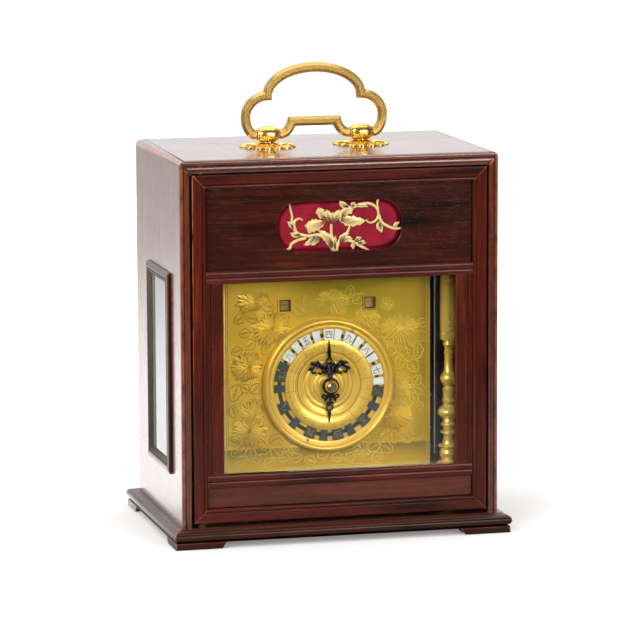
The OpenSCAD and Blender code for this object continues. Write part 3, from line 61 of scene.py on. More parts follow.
# Materials
class Graph:
    """The node tree of a material or a world, built from calls that return sockets"""

    def __init__(self, name, kind="Material"):
        self.owner = (bpy.data.worlds if kind == "World" else bpy.data.materials).new(name)
        self.owner.use_nodes = True
        self.tree = self.owner.node_tree
        self.tree.nodes.clear()
        self.out = self.tree.nodes.new("ShaderNodeOutput" + kind)

    def add(self, kind, pick=0, props=None, **inputs):
        """Adds a node and returns one of its outputs. Inputs go by their names, or by i and their place."""
        node = self.tree.nodes.new("ShaderNode" + kind)
        for key, value in (props or {}).items():
            setattr(node, key, value)
        for key, value in inputs.items():
            by_place = key[0] == "i" and key[1:].isdigit()
            socket = node.inputs[int(key[1:]) if by_place else key.replace("_", " ")]
            if isinstance(value, bpy.types.NodeSocket):
                self.tree.links.new(value, socket)
            else:
                socket.default_value = value
        return node.outputs[pick]

    def coords(self, scale=(1, 1, 1), shift=(0, 0, 0)):
        here = self.add("TexCoord", pick=OBJECT)
        return self.add("Mapping", Vector=here, Scale=scale, Location=shift)

    def axis(self, k, vector=None):
        return self.add("SeparateXYZ", pick=k, Vector=self.coords() if vector is None else vector)

    def vector(self, kind, pick=0, **inputs):
        return self.add("VectorMath", pick=pick, props={"operation": kind}, **inputs)

    def noise(self, vector, scale, detail=3.0, rough=0.5, bend=0.0):
        return self.add("TexNoise", Vector=vector, Scale=scale, Detail=detail, Roughness=rough, Distortion=bend)

    def stretched(self, scale, detail, rough):
        return self.noise(self.coords(scale), 1.0, detail, rough)

    def ramp(self, fac, *stops):
        socket = self.add("ValToRGB", Fac=fac)
        elements = socket.node.color_ramp.elements
        while len(elements) < len(stops):
            elements.new(0.5)
        for element, (place, colour) in zip(elements, stops):
            element.position = place
            element.color = (*colour, 1) if hasattr(colour, "__len__") else (colour, colour, colour, 1)
        return socket

    def mix(self, fac, a, b):
        a, b = (c if isinstance(c, bpy.types.NodeSocket) else (*c, 1) for c in (a, b))
        return self.add("Mix", pick=2, props={"data_type": "RGBA"}, i0=fac, i6=a, i7=b)

    def maths(self, kind, a, b=0.5):
        return self.add("Math", props={"operation": kind}, i0=a, i1=b)

    def plus(self, a, b):
        return self.maths("ADD", a, b)

    def times(self, a, b):
        return self.maths("MULTIPLY", a, b)

    def span(self, value, low, high, to_low=0.0, to_high=1.0):
        return self.add("MapRange", Value=value, From_Min=low, From_Max=high, To_Min=to_low, To_Max=to_high)

    def tint(self, colour, other, value, low, high, most=1.0):
        """Goes over to another colour as the value goes from low to high, up to the share most"""
        return self.mix(self.span(value, low, high, 0.0, most), colour, other)

    def bump(self, height, strength, depth, under=None):
        more = {} if under is None else {"Normal": under}
        return self.add("Bump", Height=height, Strength=strength, Distance=depth * MM, **more)

    def shelter(self, reach, low, high, **props):
        """How open the surface is within a reach, from 0 at low to 1 at high"""
        around = self.add("AmbientOcclusion", pick=1, props={"samples": 6, **props}, Distance=reach * MM)
        return self.span(around, low, high)

    def for_ray(self, ray, others, these):
        """One shader for a kind of ray and another for the rest"""
        return self.add("MixShader", i0=self.add("LightPath", pick=ray), i1=others, i2=these)

    def surface(self, shader):
        self.tree.links.new(shader, self.out.inputs["Surface"])
        return self.owner

    def finish(self, **inputs):
        return self.surface(self.add("BsdfPrincipled", **inputs))


def make_wood(name, dark, mid, light, worn_and_lit, shine=0.5, streak=0.45, coat=1.5, faded_and_sheen=0.0, edge_reach=0.3, layer=1.0):
    """Polished rosewood with its grain along the piece's own X"""
    g = Graph(name)
    # Near black, for the pores and for the painted shade in corners
    pore_and_shade_black = (0.004, 0.0015, 0.001)
    here = g.coords()
    sway = g.stretched((14, 90, 90), 2, 0.5)
    bent = g.vector("MULTIPLY_ADD", i0=sway, i1=(0.0, 0.005, 0.005), i2=here)
    broad = g.noise(g.add("Mapping", Vector=bent, Scale=(12, 120, 120)), 1.0, 5, 0.6, 0.5)
    fine = g.noise(g.add("Mapping", Vector=bent, Scale=(30, 1100, 1100)), 1.0, 4, 0.65)
    pores = g.noise(g.add("Mapping", Vector=bent, Scale=(300, 5200, 5200)), 1.0, 1, 0.5)
    cloud = g.noise(here, 30, 3, 0.5)
    colour = g.ramp(broad, (0.33, dark), (0.47, mid), (0.60, mid), (0.74, light))
    colour = g.tint(colour, dark, fine, 0.38, 0.68, streak)
    colour = g.tint(colour, light, fine, 0.45, 0.25, 0.35)
    colour = g.tint(colour, dark, cloud, 0.42, 0.62, 0.4)
    pore = g.span(pores, 0.64, 0.72)
    colour = g.mix(g.times(pore, 0.8), colour, pore_and_shade_black)
    patches = g.span(g.stretched((160, 400, 400), 3, 0.6), 0.30, 0.55)
    wear_and_gleam_span = (0.92, 0.62) if faded_and_sheen else (0.85, 0.45)
    # Faces that don't face the front or back go paler: sun-fading and painted sheen in one
    if faded_and_sheen:
        turned = g.axis(1, g.add("TexCoord", pick=NORMAL))
        bleached_and_sheen = g.ramp(fine, (0.34, (0.36, 0.150, 0.11)), (0.52, (0.23, 0.080, 0.055)), (0.66, (0.10, 0.03, 0.02)))
        colour = g.tint(colour, bleached_and_sheen, g.maths("ABSOLUTE", turned), 0.5, 0.1, faded_and_sheen)
    # Edges turn to the worn tone: rubbed wood, and a painted highlight on the lit arrises
    rubbed_and_lit = g.times(g.shelter(edge_reach, *wear_and_gleam_span, inside=True), patches)
    colour = g.mix(rubbed_and_lit, colour, worn_and_lit)
    # Corners and crevices go dark: painted shade, with dark wax in the grooves adding to it
    colour = g.mix(g.shelter(1.9, 0.34, 0.95), pore_and_shade_black, colour)
    rough = g.plus(g.span(cloud, 0.3, 0.8, 0.22, 0.36), g.times(pore, 0.3))
    wave = g.stretched((20, 60, 60), 2, 0.5)
    normal = g.bump(wave, 0.22, 0.4)
    normal = g.bump(g.maths("SUBTRACT", fine, pore), 0.25, 0.03, normal)
    return g.finish(Base_Color=colour, Roughness=rough, Normal=normal, Coat_Weight=layer, Coat_Roughness=0.13,
                    Coat_IOR=coat, Coat_Normal=normal, Specular_IOR_Level=shine)


def make_metal(name, colour, dull, rough=(0.16, 0.32), shade_and_tarnish_span=(0.25, 0.9), dent=0.03, brush=(900, 900, 5200),
               reach=1.2, shade_and_tarnish=(0.10, 0.05, 0.015), metal=1.0):
    """Metal with uneven tone, fine scratches, and corners darkened by painted shade with tarnish"""
    g = Graph(name)
    cloud = g.noise(g.coords(), 95, 4, 0.6)
    blotch = g.noise(g.coords(shift=(3, 5, 7)), 24, 3, 0.55)
    scratch = g.stretched(brush, 3, 0.6)
    tone = g.mix(g.span(blotch, 0.35, 0.72), colour, dull)
    tone = g.tint(tone, dull, scratch, 0.3, 0.75, 0.22)
    # Hollows and corners darken: painted shade, with tarnish
    tone = g.mix(g.shelter(reach, *shade_and_tarnish_span), shade_and_tarnish, tone)
    shine = g.plus(g.span(cloud, 0.3, 0.75, *rough), g.span(scratch, 0.4, 0.8, 0.0, 0.08))
    normal = g.bump(scratch, 0.2, 0.006, g.bump(cloud, 0.2, dent))
    return g.finish(Base_Color=tone, Metallic=metal, Roughness=shine, Normal=normal)


def make_turned(name, colour, dull, rough, at):
    """Metal turned on a lathe: fine rings about an axis along Y"""
    g = Graph(name)
    here = g.coords(shift=(-at[0] * MM, 0, -at[1] * MM))
    far = g.vector("LENGTH", 1, i0=g.vector("MULTIPLY", i0=here, i1=(1, 0, 1)))
    one_way = {"noise_dimensions": "1D"}
    rings = g.add("TexNoise", props=one_way, W=far, Scale=2600, Detail=3, Roughness=0.6)
    bands = g.add("TexNoise", props=one_way, W=far, Scale=420, Detail=2, Roughness=0.5)
    cloud = g.noise(g.coords(), 60, 4, 0.6)
    tone = g.mix(g.span(bands, 0.35, 0.65), colour, dull)
    tone = g.tint(tone, dull, cloud, 0.4, 0.75, 0.3)
    # Hollows darken: painted shade, with tarnish
    tone = g.mix(g.shelter(0.7, 0.15, 0.75), (0.14, 0.06, 0.012), tone)
    shine = g.plus(g.span(cloud, 0.3, 0.75, *rough), g.span(rings, 0.4, 0.7, 0.0, 0.08))
    normal = g.bump(bands, 0.3, 0.03, g.bump(rings, 0.35, 0.012))
    return g.finish(Base_Color=tone, Metallic=0.56, Roughness=shine, Normal=normal)


def plate_places(g, cloud, share):
    """X, Z and the way towards the plate's top right, which a share of a noise unsettles"""
    x, z = g.axis(0), g.axis(2)
    return x, z, g.plus(g.plus(x, g.times(z, 1.1)), g.times(cloud, share))


def make_plate(name):
    """The dial's gilt plate: orange clouds, a painted reflection that darkens it to olive towards its top right, and
    a dark band low down that is a painted reflection too
    """
    g = Graph(name)
    wide = g.noise(g.coords(shift=(2, 3, 1)), 17, 3, 0.5)
    warm = g.noise(g.coords(shift=(7, 1, 4)), 28, 4, 0.6)
    stain = g.noise(g.coords(shift=(5, 5, 5)), 210, 5, 0.7)
    wipe = g.stretched((260, 260, 2600), 3, 0.6)
    x, z, slant = plate_places(g, wide, 0.02)
    tone = g.ramp(wide, (0.36, (0.80, 0.50, 0.035)), (0.52, (0.92, 0.62, 0.07)), (0.68, (0.97, 0.72, 0.14)))
    tone = g.tint(tone, (0.95, 0.50, 0.035), warm, 0.48, 0.66, 0.85)
    # Darker and olive towards the top right: a painted reflection
    tone = g.tint(tone, (0.42, 0.25, 0.002), slant, 0.078, 0.112, 0.72)
    aside = g.maths("ABSOLUTE", g.maths("SUBTRACT", x, 0.008))
    olive_reflection = g.times(g.span(z, 0.076, 0.092), g.span(aside, 0.026, 0.010))
    tone = g.mix(g.times(olive_reflection, 0.7), tone, (0.34, 0.27, 0.002))
    # A dark band low down: a painted reflection
    reflected_band = g.times(g.span(z, 0.0318, 0.0311), g.span(z, 0.0255, 0.0305))
    tone = g.mix(g.times(reflected_band, 0.72), tone, (0.16, 0.11, 0.02))
    tone = g.tint(tone, (0.45, 0.28, 0.04), stain, 0.58, 0.75, 0.35)
    tone = g.tint(tone, (0.74, 0.50, 0.06), wipe, 0.45, 0.8, 0.2)
    # Hollows darken: painted shade, with tarnish
    tone = g.mix(g.shelter(0.5, 0.2, 0.8), (0.16, 0.09, 0.015), tone)
    shine = g.plus(g.span(wide, 0.3, 0.7, 0.28, 0.38), g.span(stain, 0.5, 0.8, 0.0, 0.12))
    normal = g.bump(g.noise(g.coords(), 14, 2, 0.4), 0.3, 0.35)
    normal = g.bump(wipe, 0.15, 0.006, g.bump(stain, 0.12, 0.02, normal))
    return g.finish(Base_Color=tone, Metallic=0.62, Roughness=shine, Normal=normal)


def make_line(name):
    """Chased lines: dark on the bright left of the plate, and bright on its darker right and low band, as a painted
    highlight
    """
    g = Graph(name)
    cloud = g.noise(g.coords(), 120, 3, 0.6)
    _, z, slant = plate_places(g, cloud, 0.05)
    lit = g.maths("MAXIMUM", g.span(slant, 0.090, 0.118), g.span(z, 0.0325, 0.0315))
    tone = g.mix(lit, (0.40, 0.26, 0.05), (1.0, 0.78, 0.16))
    tone = g.tint(tone, (0.90, 0.66, 0.14), cloud, 0.5, 0.7, 0.6)
    return g.finish(Base_Color=tone, Metallic=0.45, Roughness=0.32)


def make_door_pane(name):
    """Clear pane that lets the lamps' light through"""
    g = Graph(name)
    tint = (0.98, 0.985, 0.975, 1)
    smear = g.stretched((60, 60, 25), 4, 0.6)
    wave = g.noise(g.coords(), 18, 1, 0.4)
    shader = g.add("BsdfPrincipled", Base_Color=tint, Transmission_Weight=1.0, IOR=1.5,
                   Roughness=g.span(smear, 0.45, 0.8, 0.0, 0.04), Normal=g.bump(wave, 0.06, 0.3))
    return g.surface(g.for_ray(SHADOW_RAY, shader, g.add("BsdfTransparent", Color=tint)))


def make_side_pane(name):
    """Old glass, its tone a painted sheen and reflection: the left pane pales at a slant, the right one is pale low
    down and dark above
    """
    g = Graph(name)
    cloud = g.stretched((30, 30, 14), 3, 0.5)
    # The right pane: pale low down as a painted reflection of the floor, dark above
    right = g.mix(g.span(g.axis(2), 0.050, 0.072), (0.44, 0.41, 0.33), (0.07, 0.045, 0.03))
    # The left pane: paler at a slant, as painted sheen
    slanting = g.add("LayerWeight", pick=1, Blend=0.5)
    left = g.mix(g.span(slanting, 0.15, 0.70), (0.16, 0.17, 0.165), (0.70, 0.74, 0.72))
    sheen_and_reflection = g.mix(g.span(g.axis(0), -0.01, 0.01), left, right)
    shader = g.add("BsdfPrincipled", Base_Color=sheen_and_reflection, Transmission_Weight=0.70, IOR=2.3,
                   Roughness=g.span(cloud, 0.3, 0.8, 0.0, 0.05))
    return g.surface(g.for_ray(SHADOW_RAY, shader, g.add("BsdfTransparent", Color=(0.60, 0.64, 0.62, 1))))


def make_silk(name):
    """Crimson silk: crossing threads, slubs and faded places"""
    g = Graph(name)
    across, along = (
        g.span(g.axis(0, g.add("TexWave", props={"bands_direction": way}, Vector=g.coords(), Scale=scale,
                               Distortion=0.6, Detail=1.0, Detail_Scale=40)), 0, 1)
        for way, scale in (("X", 820), ("Z", 760)))
    weave = g.times(across, along)
    slub = g.stretched((120, 120, 1500), 3, 0.6)
    fade = g.noise(g.coords(), 160, 4, 0.6)
    colour = g.ramp(fade, (0.3, (0.16, 0.003, 0.015)), (0.55, (0.36, 0.006, 0.018)), (0.8, (0.50, 0.018, 0.034)))
    colour = g.tint(colour, (0.38, 0.03, 0.075), slub, 0.4, 0.75, 0.3)
    colour = g.mix(g.span(weave, 0.0, 0.6, 0.5, 0.0), colour, (0.09, 0.002, 0.015))
    return g.finish(Base_Color=colour, Roughness=g.span(slub, 0.3, 0.8, 0.55, 0.8), Normal=g.bump(weave, 0.5, 0.06),
                    Sheen_Weight=0.12, Sheen_Roughness=0.35, Sheen_Tint=(1.0, 0.35, 0.4, 1), Specular_IOR_Level=0.15)


# Woods: dark, middle and light tone, and the tone of the rubbed edges, which is worn wood and a painted highlight in
# one
ARRIS = (0.42, 0.11, 0.032)
WOOD = make_wood("rosewood_case", (0.020, 0.004, 0.0022), (0.105, 0.017, 0.0065), (0.24, 0.050, 0.016),
                 (0.60, 0.17, 0.04), 0.3, 0.5, 1.5, 0.65, 0.8)
WOOD_DOOR = make_wood("rosewood_door", (0.014, 0.0026, 0.0018), (0.088, 0.0112, 0.0050), (0.20, 0.034, 0.011),
                      ARRIS, 0.1, 0.45, 1.36, layer=0.35)
WOOD_PANEL = make_wood("rosewood_panel", (0.005, 0.0013, 0.0008), (0.052, 0.0072, 0.0030), (0.155, 0.029, 0.010),
                       ARRIS, 0.1, 0.4, 1.36)
WOOD_LOWER = make_wood("rosewood_lower", (0.034, 0.007, 0.003), (0.105, 0.021, 0.008), (0.20, 0.052, 0.020),
                       ARRIS, 0.1, 0.4, 1.33)
WOOD_BASE = make_wood("rosewood_base", (0.007, 0.002, 0.001), (0.050, 0.0095, 0.0038), (0.14, 0.030, 0.011),
                      ARRIS, 0.12, 0.5, 1.33, 0.4, layer=0.5)
WOOD_BEAD = make_wood("rosewood_bead", (0.012, 0.003, 0.002), (0.075, 0.013, 0.006), (0.18, 0.036, 0.012),
                      ARRIS, 0.2, 0.5, 1.42, 0.5, layer=0.4)
WOOD_INSIDE = make_wood("rosewood_inside", (0.008, 0.002, 0.0012), (0.040, 0.008, 0.004), (0.08, 0.018, 0.008),
                        ARRIS, 0.05, 0.4, 1.3, layer=0.0)
WOOD_PLAIN = make_wood("plain_wood", (0.05, 0.022, 0.012), (0.16, 0.07, 0.035), (0.26, 0.13, 0.07),
                       (0.3, 0.16, 0.09), 0.2, 0.3)
# Metals: bright and dull tone
GOLD = make_metal("gilt_polished", (0.92, 0.63, 0.18), (0.82, 0.52, 0.11), (0.14, 0.26), (0.1, 0.7), 0.008, metal=0.9)
GOLD_HANDLE = make_metal("gilt_handle", (0.60, 0.385, 0.11), (0.46, 0.285, 0.065), (0.25, 0.33), (0.1, 0.7), 0.004,
                         metal=0.78)
GOLD_COLUMN = make_metal("gilt_column", (0.97, 0.72, 0.17), (0.90, 0.62, 0.12), (0.24, 0.34), (-1.0, -0.5), 0.004,
                         metal=0.62)
PLATE = make_plate("gilt_plate")
TURNED = make_turned("turned_gilt", (0.96, 0.66, 0.12), (0.86, 0.52, 0.07), (0.24, 0.34), (0, DIAL_Z))
LINE = make_line("chased_line")
MARK = make_metal("ring_mark", (0.22, 0.14, 0.03), (0.16, 0.10, 0.02), (0.3, 0.4), metal=0.5)
BRASS = make_metal("movement_brass", (0.80, 0.60, 0.25), (0.64, 0.45, 0.15), (0.22, 0.42))
FRET = make_metal("pale_gilt", (0.97, 0.76, 0.37), (0.84, 0.61, 0.25), (0.42, 0.58), reach=0.7,
                  shade_and_tarnish=(0.20, 0.15, 0.08), metal=0.7)
SHADING = make_metal("fret_shading", (0.16, 0.085, 0.025), (0.22, 0.13, 0.045), (0.45, 0.6), metal=0.6)
STEEL = make_metal("bright_steel", (0.62, 0.61, 0.59), (0.45, 0.44, 0.43), (0.2, 0.36), shade_and_tarnish=(0.08, 0.07, 0.06))
BLUED = make_metal("blued_steel", (0.016, 0.024, 0.048), (0.026, 0.024, 0.034), (0.18, 0.32),
                   shade_and_tarnish=(0.01, 0.01, 0.015))
SILVER = make_metal("silver_plaque", (0.80, 0.80, 0.73), (0.66, 0.66, 0.58), (0.42, 0.55), reach=0.5,
                    shade_and_tarnish=(0.25, 0.23, 0.18), metal=0.6)
DARK = make_metal("dark_plaque", (0.050, 0.070, 0.062), (0.036, 0.046, 0.042), (0.42, 0.55), reach=0.5, metal=0.5)
BLACK = make_metal("blackened_brass", (0.018, 0.015, 0.012), (0.03, 0.022, 0.014), (0.5, 0.7), metal=0.3)
UMBER = make_metal("browned_brass", (0.20, 0.10, 0.016), (0.12, 0.055, 0.010), (0.35, 0.5), reach=0.6, metal=0.5)
# Toned light: painted light against the shade of the apertures that the discs sit behind
DISC = make_metal("calendar_disc", (0.52, 0.33, 0.10), (0.36, 0.21, 0.06), (0.4, 0.55), (0.0, 0.3), metal=0.3)
GROUND = make_metal("punched_ground", (0.50, 0.33, 0.06), (0.36, 0.23, 0.04), (0.4, 0.5), (-1.0, -0.5),
                    brush=(2400, 2400, 2400), metal=0.6)
MOTTLED = make_metal("mottled_gilt", (0.085, 0.052, 0.018), (0.008, 0.005, 0.003), (0.45, 0.6), dent=0.1,
                     brush=(2600, 2600, 2600), metal=0.2)
BELL = make_metal("bell_metal", (0.74, 0.55, 0.26), (0.60, 0.43, 0.18), (0.2, 0.36), brush=(60, 60, 4200))
DOOR_PANE = make_door_pane("clear_pane")
SIDE_PANE = make_side_pane("side_pane")
SILK = make_silk("crimson_silk")


# Mesh helpers
def settle(o, body, mat, nodes=(), grain=None, seed=0):
    """Gives a piece its material, its own axes and the body that it rides on"""
    o.data.materials.clear()
    o.data.materials.append(mat)
    if grain:
        along, across = (Vector(a) for a in AXES[grain])
        turn = Matrix((along, across, along.cross(across))).transposed().to_4x4()
        rng = random.Random(seed)
        at = Matrix.Translation([rng.uniform(-0.4, 0.4) for _ in range(3)]) @ turn
        o.data.transform(at.inverted())
        o.matrix_world = at
    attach(o, body)
    if nodes:
        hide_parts(*nodes)
    return o


def place_mesh(name, mesh, angle=38):
    """A smooth object in the scene, creased where its faces meet at more than the angle"""
    o = bpy.data.objects.new(name, mesh)
    bpy.context.scene.collection.objects.link(o)
    for p in mesh.polygons:
        p.use_smooth = True
    mesh.set_sharp_from_angle(angle=math.radians(angle))
    return o


def new_object(name, verts, faces, angle=38):
    mesh = bpy.data.meshes.new(name)
    mesh.from_pydata([tuple(c * MM for c in v) for v in verts], [], faces)
    mesh.validate()
    mesh.update()
    return place_mesh(name, mesh, angle)


def solid(name, verts, faces, body, mat, nodes=(), angle=38, grain=None, seed=0):
    """New piece with all its faces turned outward"""
    o = new_object(name, verts, faces, angle)
    bm = bmesh.new()
    bm.from_mesh(o.data)
    bmesh.ops.recalc_face_normals(bm, faces=bm.faces)
    bm.to_mesh(o.data)
    bm.free()
    return settle(o, body, mat, nodes, grain, seed)


def tube(rings, m, caps=True):
    """Faces round a row of rings of m points, each ring given by its first point's number"""
    faces = []
    for a, b in zip(rings, rings[1:]):
        faces += [(a + k, a + (k + 1) % m, b + (k + 1) % m, b + k) for k in range(m)]
    if caps:
        faces += [tuple(range(end, end + m)) for end in (rings[0], rings[-1])]
    return faces


def soften(o, width, segments=2, angle=32):
    """Rounds the edges when the scene is rendered"""
    m = o.modifiers.new("edges", "BEVEL")
    m.width, m.segments, m.angle_limit = width * MM, segments, math.radians(angle)
    m.limit_method, m.use_clamp_overlap, m.profile = "ANGLE", True, 0.6
    o.modifiers.new("even", "WEIGHTED_NORMAL").keep_sharp = True


def node_shape(node):
    """The shape of a CAD node, without the seams inside its flat faces"""
    bm = bmesh.new()
    bm.from_mesh(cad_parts[node].data)
    bmesh.ops.remove_doubles(bm, verts=bm.verts, dist=2e-6)
    bmesh.ops.dissolve_limit(bm, angle_limit=math.radians(0.6), verts=bm.verts, edges=bm.edges)
    return bm


def islands(bm):
    """The groups of vertices that hang together"""
    left, groups = set(bm.verts), []
    while left:
        stack, seen = [left.pop()], []
        while stack:
            v = stack.pop()
            seen.append(v)
            for e in v.link_edges:
                w = e.other_vert(v)
                if w in left:
                    left.remove(w)
                    stack.append(w)
        groups.append(seen)
    return groups


def clones(node, body, mat, slot, width, grain, seed, change=None):
    """Pieces with the shape of a node's solids, with softened edges. A grain of auto follows each solid's length."""
    bm = node_shape(node)
    groups = sorted(islands(bm), key=lambda g: tuple(round(sum(v.co[k] for v in g) / len(g), 4) for k in range(3)))
    for i, group in enumerate(groups):
        part = bmesh.new()
        keep = {v: part.verts.new(v.co) for v in group}
        for f in bm.faces:
            if f.verts[0] in keep:
                part.faces.new([keep[v] for v in f.verts])
        bmesh.ops.recalc_face_normals(part, faces=part.faces)
        if change:
            change(part)
        name = f"{node}_piece_{i + 1}" if len(groups) > 1 else node + "_piece"
        mesh = bpy.data.meshes.new(name)
        part.to_mesh(mesh)
        part.free()
        way = grain
        if grain == "auto":
            size = [max(v.co[k] for v in mesh.vertices) - min(v.co[k] for v in mesh.vertices) for k in range(3)]
            way = "xyz"[size.index(max(size))]
        soften(settle(place_mesh(name, mesh), body, mat, [node], way, seed * 101 + i), width)
    bm.free()


def lathe(name, mat, profile, at, nodes=(), axis="z", segments=72, angle=38, body="case"):
    """Turned piece: profile holds radius and height, along X, along Z, or out of the front along -Y"""
    verts, faces, rows = [], [], []
    for r, h in profile:
        row = []
        for k in range(segments if r > 1e-6 else 1):
            a = 2 * math.pi * k / segments
            c, s = r * math.cos(a), r * math.sin(a)
            p = {"x": (h, c, s), "y": (c, -h, s), "z": (c, s, h)}[axis]
            row.append(len(verts))
            verts.append(tuple(p[i] + at[i] for i in range(3)))
        rows.append(row)
    for a, b in zip(rows, rows[1:]):
        for k in range(segments):
            n = (k + 1) % segments
            # A row on the axis is one point, which a face holds once
            corners = (a[k % len(a)], a[n % len(a)], b[n % len(b)], b[k % len(b)])
            face = tuple(dict.fromkeys(corners))
            if len(face) > 2:
                faces.append(face)
    return solid(name, verts, faces, body, mat, nodes, angle)


def smooth_curve(points, per=6):
    """A soft line through the points"""
    pts = [Vector(p) for p in points]
    out = []
    for i in range(len(pts) - 1):
        a, b = pts[max(i - 1, 0)], pts[i]
        c, d = pts[i + 1], pts[min(i + 2, len(pts) - 1)]
        for k in range(per):
            t = k / per
            square, cube = 2 * a - 5 * b + 4 * c - d, 3 * b - a - 3 * c + d
            out.append(0.5 * ((2 * b) + (c - a) * t + square * t * t + cube * t ** 3))
    return [tuple(p) for p in out + [pts[-1]]]


def bowed(base, tip, t, bend, aside=0.0):
    """Point at the share t of a bowed line, moved aside"""
    dx, dz = tip[0] - base[0], tip[1] - base[1]
    bow = bend * 4 * t * (1 - t) + aside / math.hypot(dx, dz)
    return base[0] + dx * t - dz * bow, base[1] + dz * t + dx * bow


def leaf_width(t, peak):
    """Share of a leaf's width at the share t of its length. A peak over 1 makes a blunt petal."""
    return math.sin(math.pi * min(t ** peak, 1)) ** 0.75


class Strokes:
    """Leaves, stems and lines in planes that face the front, gathered in one mesh"""

    def __init__(self):
        self.verts, self.faces = [], []

    def add(self, path, widths, section):
        """Sweeps a section of side steps, in half widths, and depths along the path"""
        n, m, start = len(path), len(section), len(self.verts)
        for i, (x, z) in enumerate(path):
            a, b = path[max(i - 1, 0)], path[min(i + 1, n - 1)]
            dx, dz = b[0] - a[0], b[1] - a[1]
            far = math.hypot(dx, dz) or 1
            w = widths[i] if hasattr(widths, "__len__") else widths
            self.verts += [(x - dz / far * w * u, y, z + dx / far * w * u) for u, y in section]
        self.faces += tube(range(start, start + n * m, m), m)

    def leaf(self, base, tip, width, section, bend, peak, teeth=0, steps=16):
        """Leaf or petal from its base to its tip. Teeth cut its edge."""
        path, widths = [], []
        for i in range(steps + 1):
            t = i / steps
            path.append(bowed(base, tip, t, bend))
            w = leaf_width(t, peak) if 0 < t < 1 else 0
            if teeth:
                w *= 0.62 + 0.38 * (1 - (t * teeth) % 1)
            widths.append(max(w * width / 2, 0.05))
        self.add(path, widths, section)

    def vine(self, points, widths, section):
        """Soft stem through the points, from its first width to its last"""
        path = smooth_curve(points)
        spread = [widths[0] + (widths[1] - widths[0]) * i / (len(path) - 1) for i in range(len(path))]
        self.add(path, spread, section)

    def make(self, name, body, mat, slot, nodes=(), angle=20):
        return solid(name, self.verts, self.faces, body, mat, nodes, angle)


def relief(front, back, dome=0.2, vein=0.0):
    """Section of a leaf or stem: domed in front, with a vein along its middle, and flat behind"""
    return [(-1, back), (-1, front + dome), (-0.5, front + dome * 0.2), (0, front + vein),
            (0.5, front + dome * 0.2), (1, front + dome), (1, back)]


def ridge(base, height):
    """Section of a chased line or a numeral's stroke, three-cornered"""
    return [(-1, base + 0.02), (0, base - height), (1, base + 0.02)]


def arc_points(cx, cz, rx, rz, a0, a1, steps):
    return [(cx + rx * math.cos(math.radians(a0 + (a1 - a0) * i / steps)),
             cz + rz * math.sin(math.radians(a0 + (a1 - a0) * i / steps))) for i in range(steps + 1)]


def circle_path(x, z, r, steps=20):
    return arc_points(x, z, r, r, 0, 360, steps)


def at_angle(cx, cz, a, along, across=0.0):
    """Point along and across the direction at the angle a"""
    return cx + along * math.cos(a) - across * math.sin(a), cz + along * math.sin(a) + across * math.cos(a)


def on_dial(r, deg, cx=0, cz=DIAL_Z):
    """Point at a radius, degrees clockwise from the top"""
    return cx + r * math.sin(math.radians(deg)), cz + r * math.cos(math.radians(deg))


def rect_frame(name, mat, centre, half, section, facing="y"):
    """Mitred rectangle: the section holds steps outward from the opening and heights above the plane"""
    verts = []
    for u, v in section:
        for sa, sb in ((-1, -1), (1, -1), (1, 1), (-1, 1)):
            a, b = sa * (half[0] + u), sb * (half[1] + u)
            if facing == "y":
                verts.append((centre[0] + a, centre[1] - v, centre[2] + b))
            else:
                verts.append((centre[0] + math.copysign(v, centre[0]), centre[1] + a, centre[2] + b))
    rings = [4 * i for i in range(len(section))] + [0]
    return solid(name, verts, tube(rings, 4, caps=False), "case", mat, angle=30)


def swept(path, section):
    """Mitred sweep of a section along a path in the plane y = 0, as vertices and faces"""
    verts, n, m = [], len(path), len(section)
    for i, (x, z) in enumerate(path):
        before = path[i - 1] if i else (2 * x - path[1][0], 2 * z - path[1][1])
        after = path[i + 1] if i < n - 1 else (2 * x - path[i - 1][0], 2 * z - path[i - 1][1])
        one = Vector((before[1] - z, x - before[0])).normalized()
        two = Vector((z - after[1], after[0] - x)).normalized()
        across = (one + two) / (1 + one.dot(two))
        verts += [(x + across.x * u, v, z + across.y * u) for u, v in section]
    return verts, tube(range(0, n * m, m), m)


# Camera, stage and light
FOCAL, SENSOR, CAMERA_AT = 221.03, 36, (-355.15, -1415.04, 299.89)
YAW, PITCH, ROLL = math.radians(14.164), math.radians(8.728), math.radians(-0.215)
forward = Vector((math.sin(YAW) * math.cos(PITCH), math.cos(YAW) * math.cos(PITCH), -math.sin(PITCH)))
right = Vector((math.cos(YAW), -math.sin(YAW), 0))
up = right.cross(forward)
rolled = (math.cos(ROLL) * right + math.sin(ROLL) * up, -math.sin(ROLL) * right + math.cos(ROLL) * up, -forward)
cam = bpy.data.objects.new("camera", bpy.data.cameras.new("camera"))
cam.data.lens, cam.data.sensor_width = FOCAL, SENSOR
cam.data.clip_start, cam.data.clip_end = 0.05, 20
cam.matrix_world = Matrix.Translation(Vector(CAMERA_AT) * MM) @ Matrix(rolled).transposed().to_4x4()
bpy.context.scene.collection.objects.link(cam)
bpy.context.scene.camera = cam
bpy.context.scene.view_settings.view_transform = "Standard"
WHITE = (1.0, 1.0, 1.0, 1)


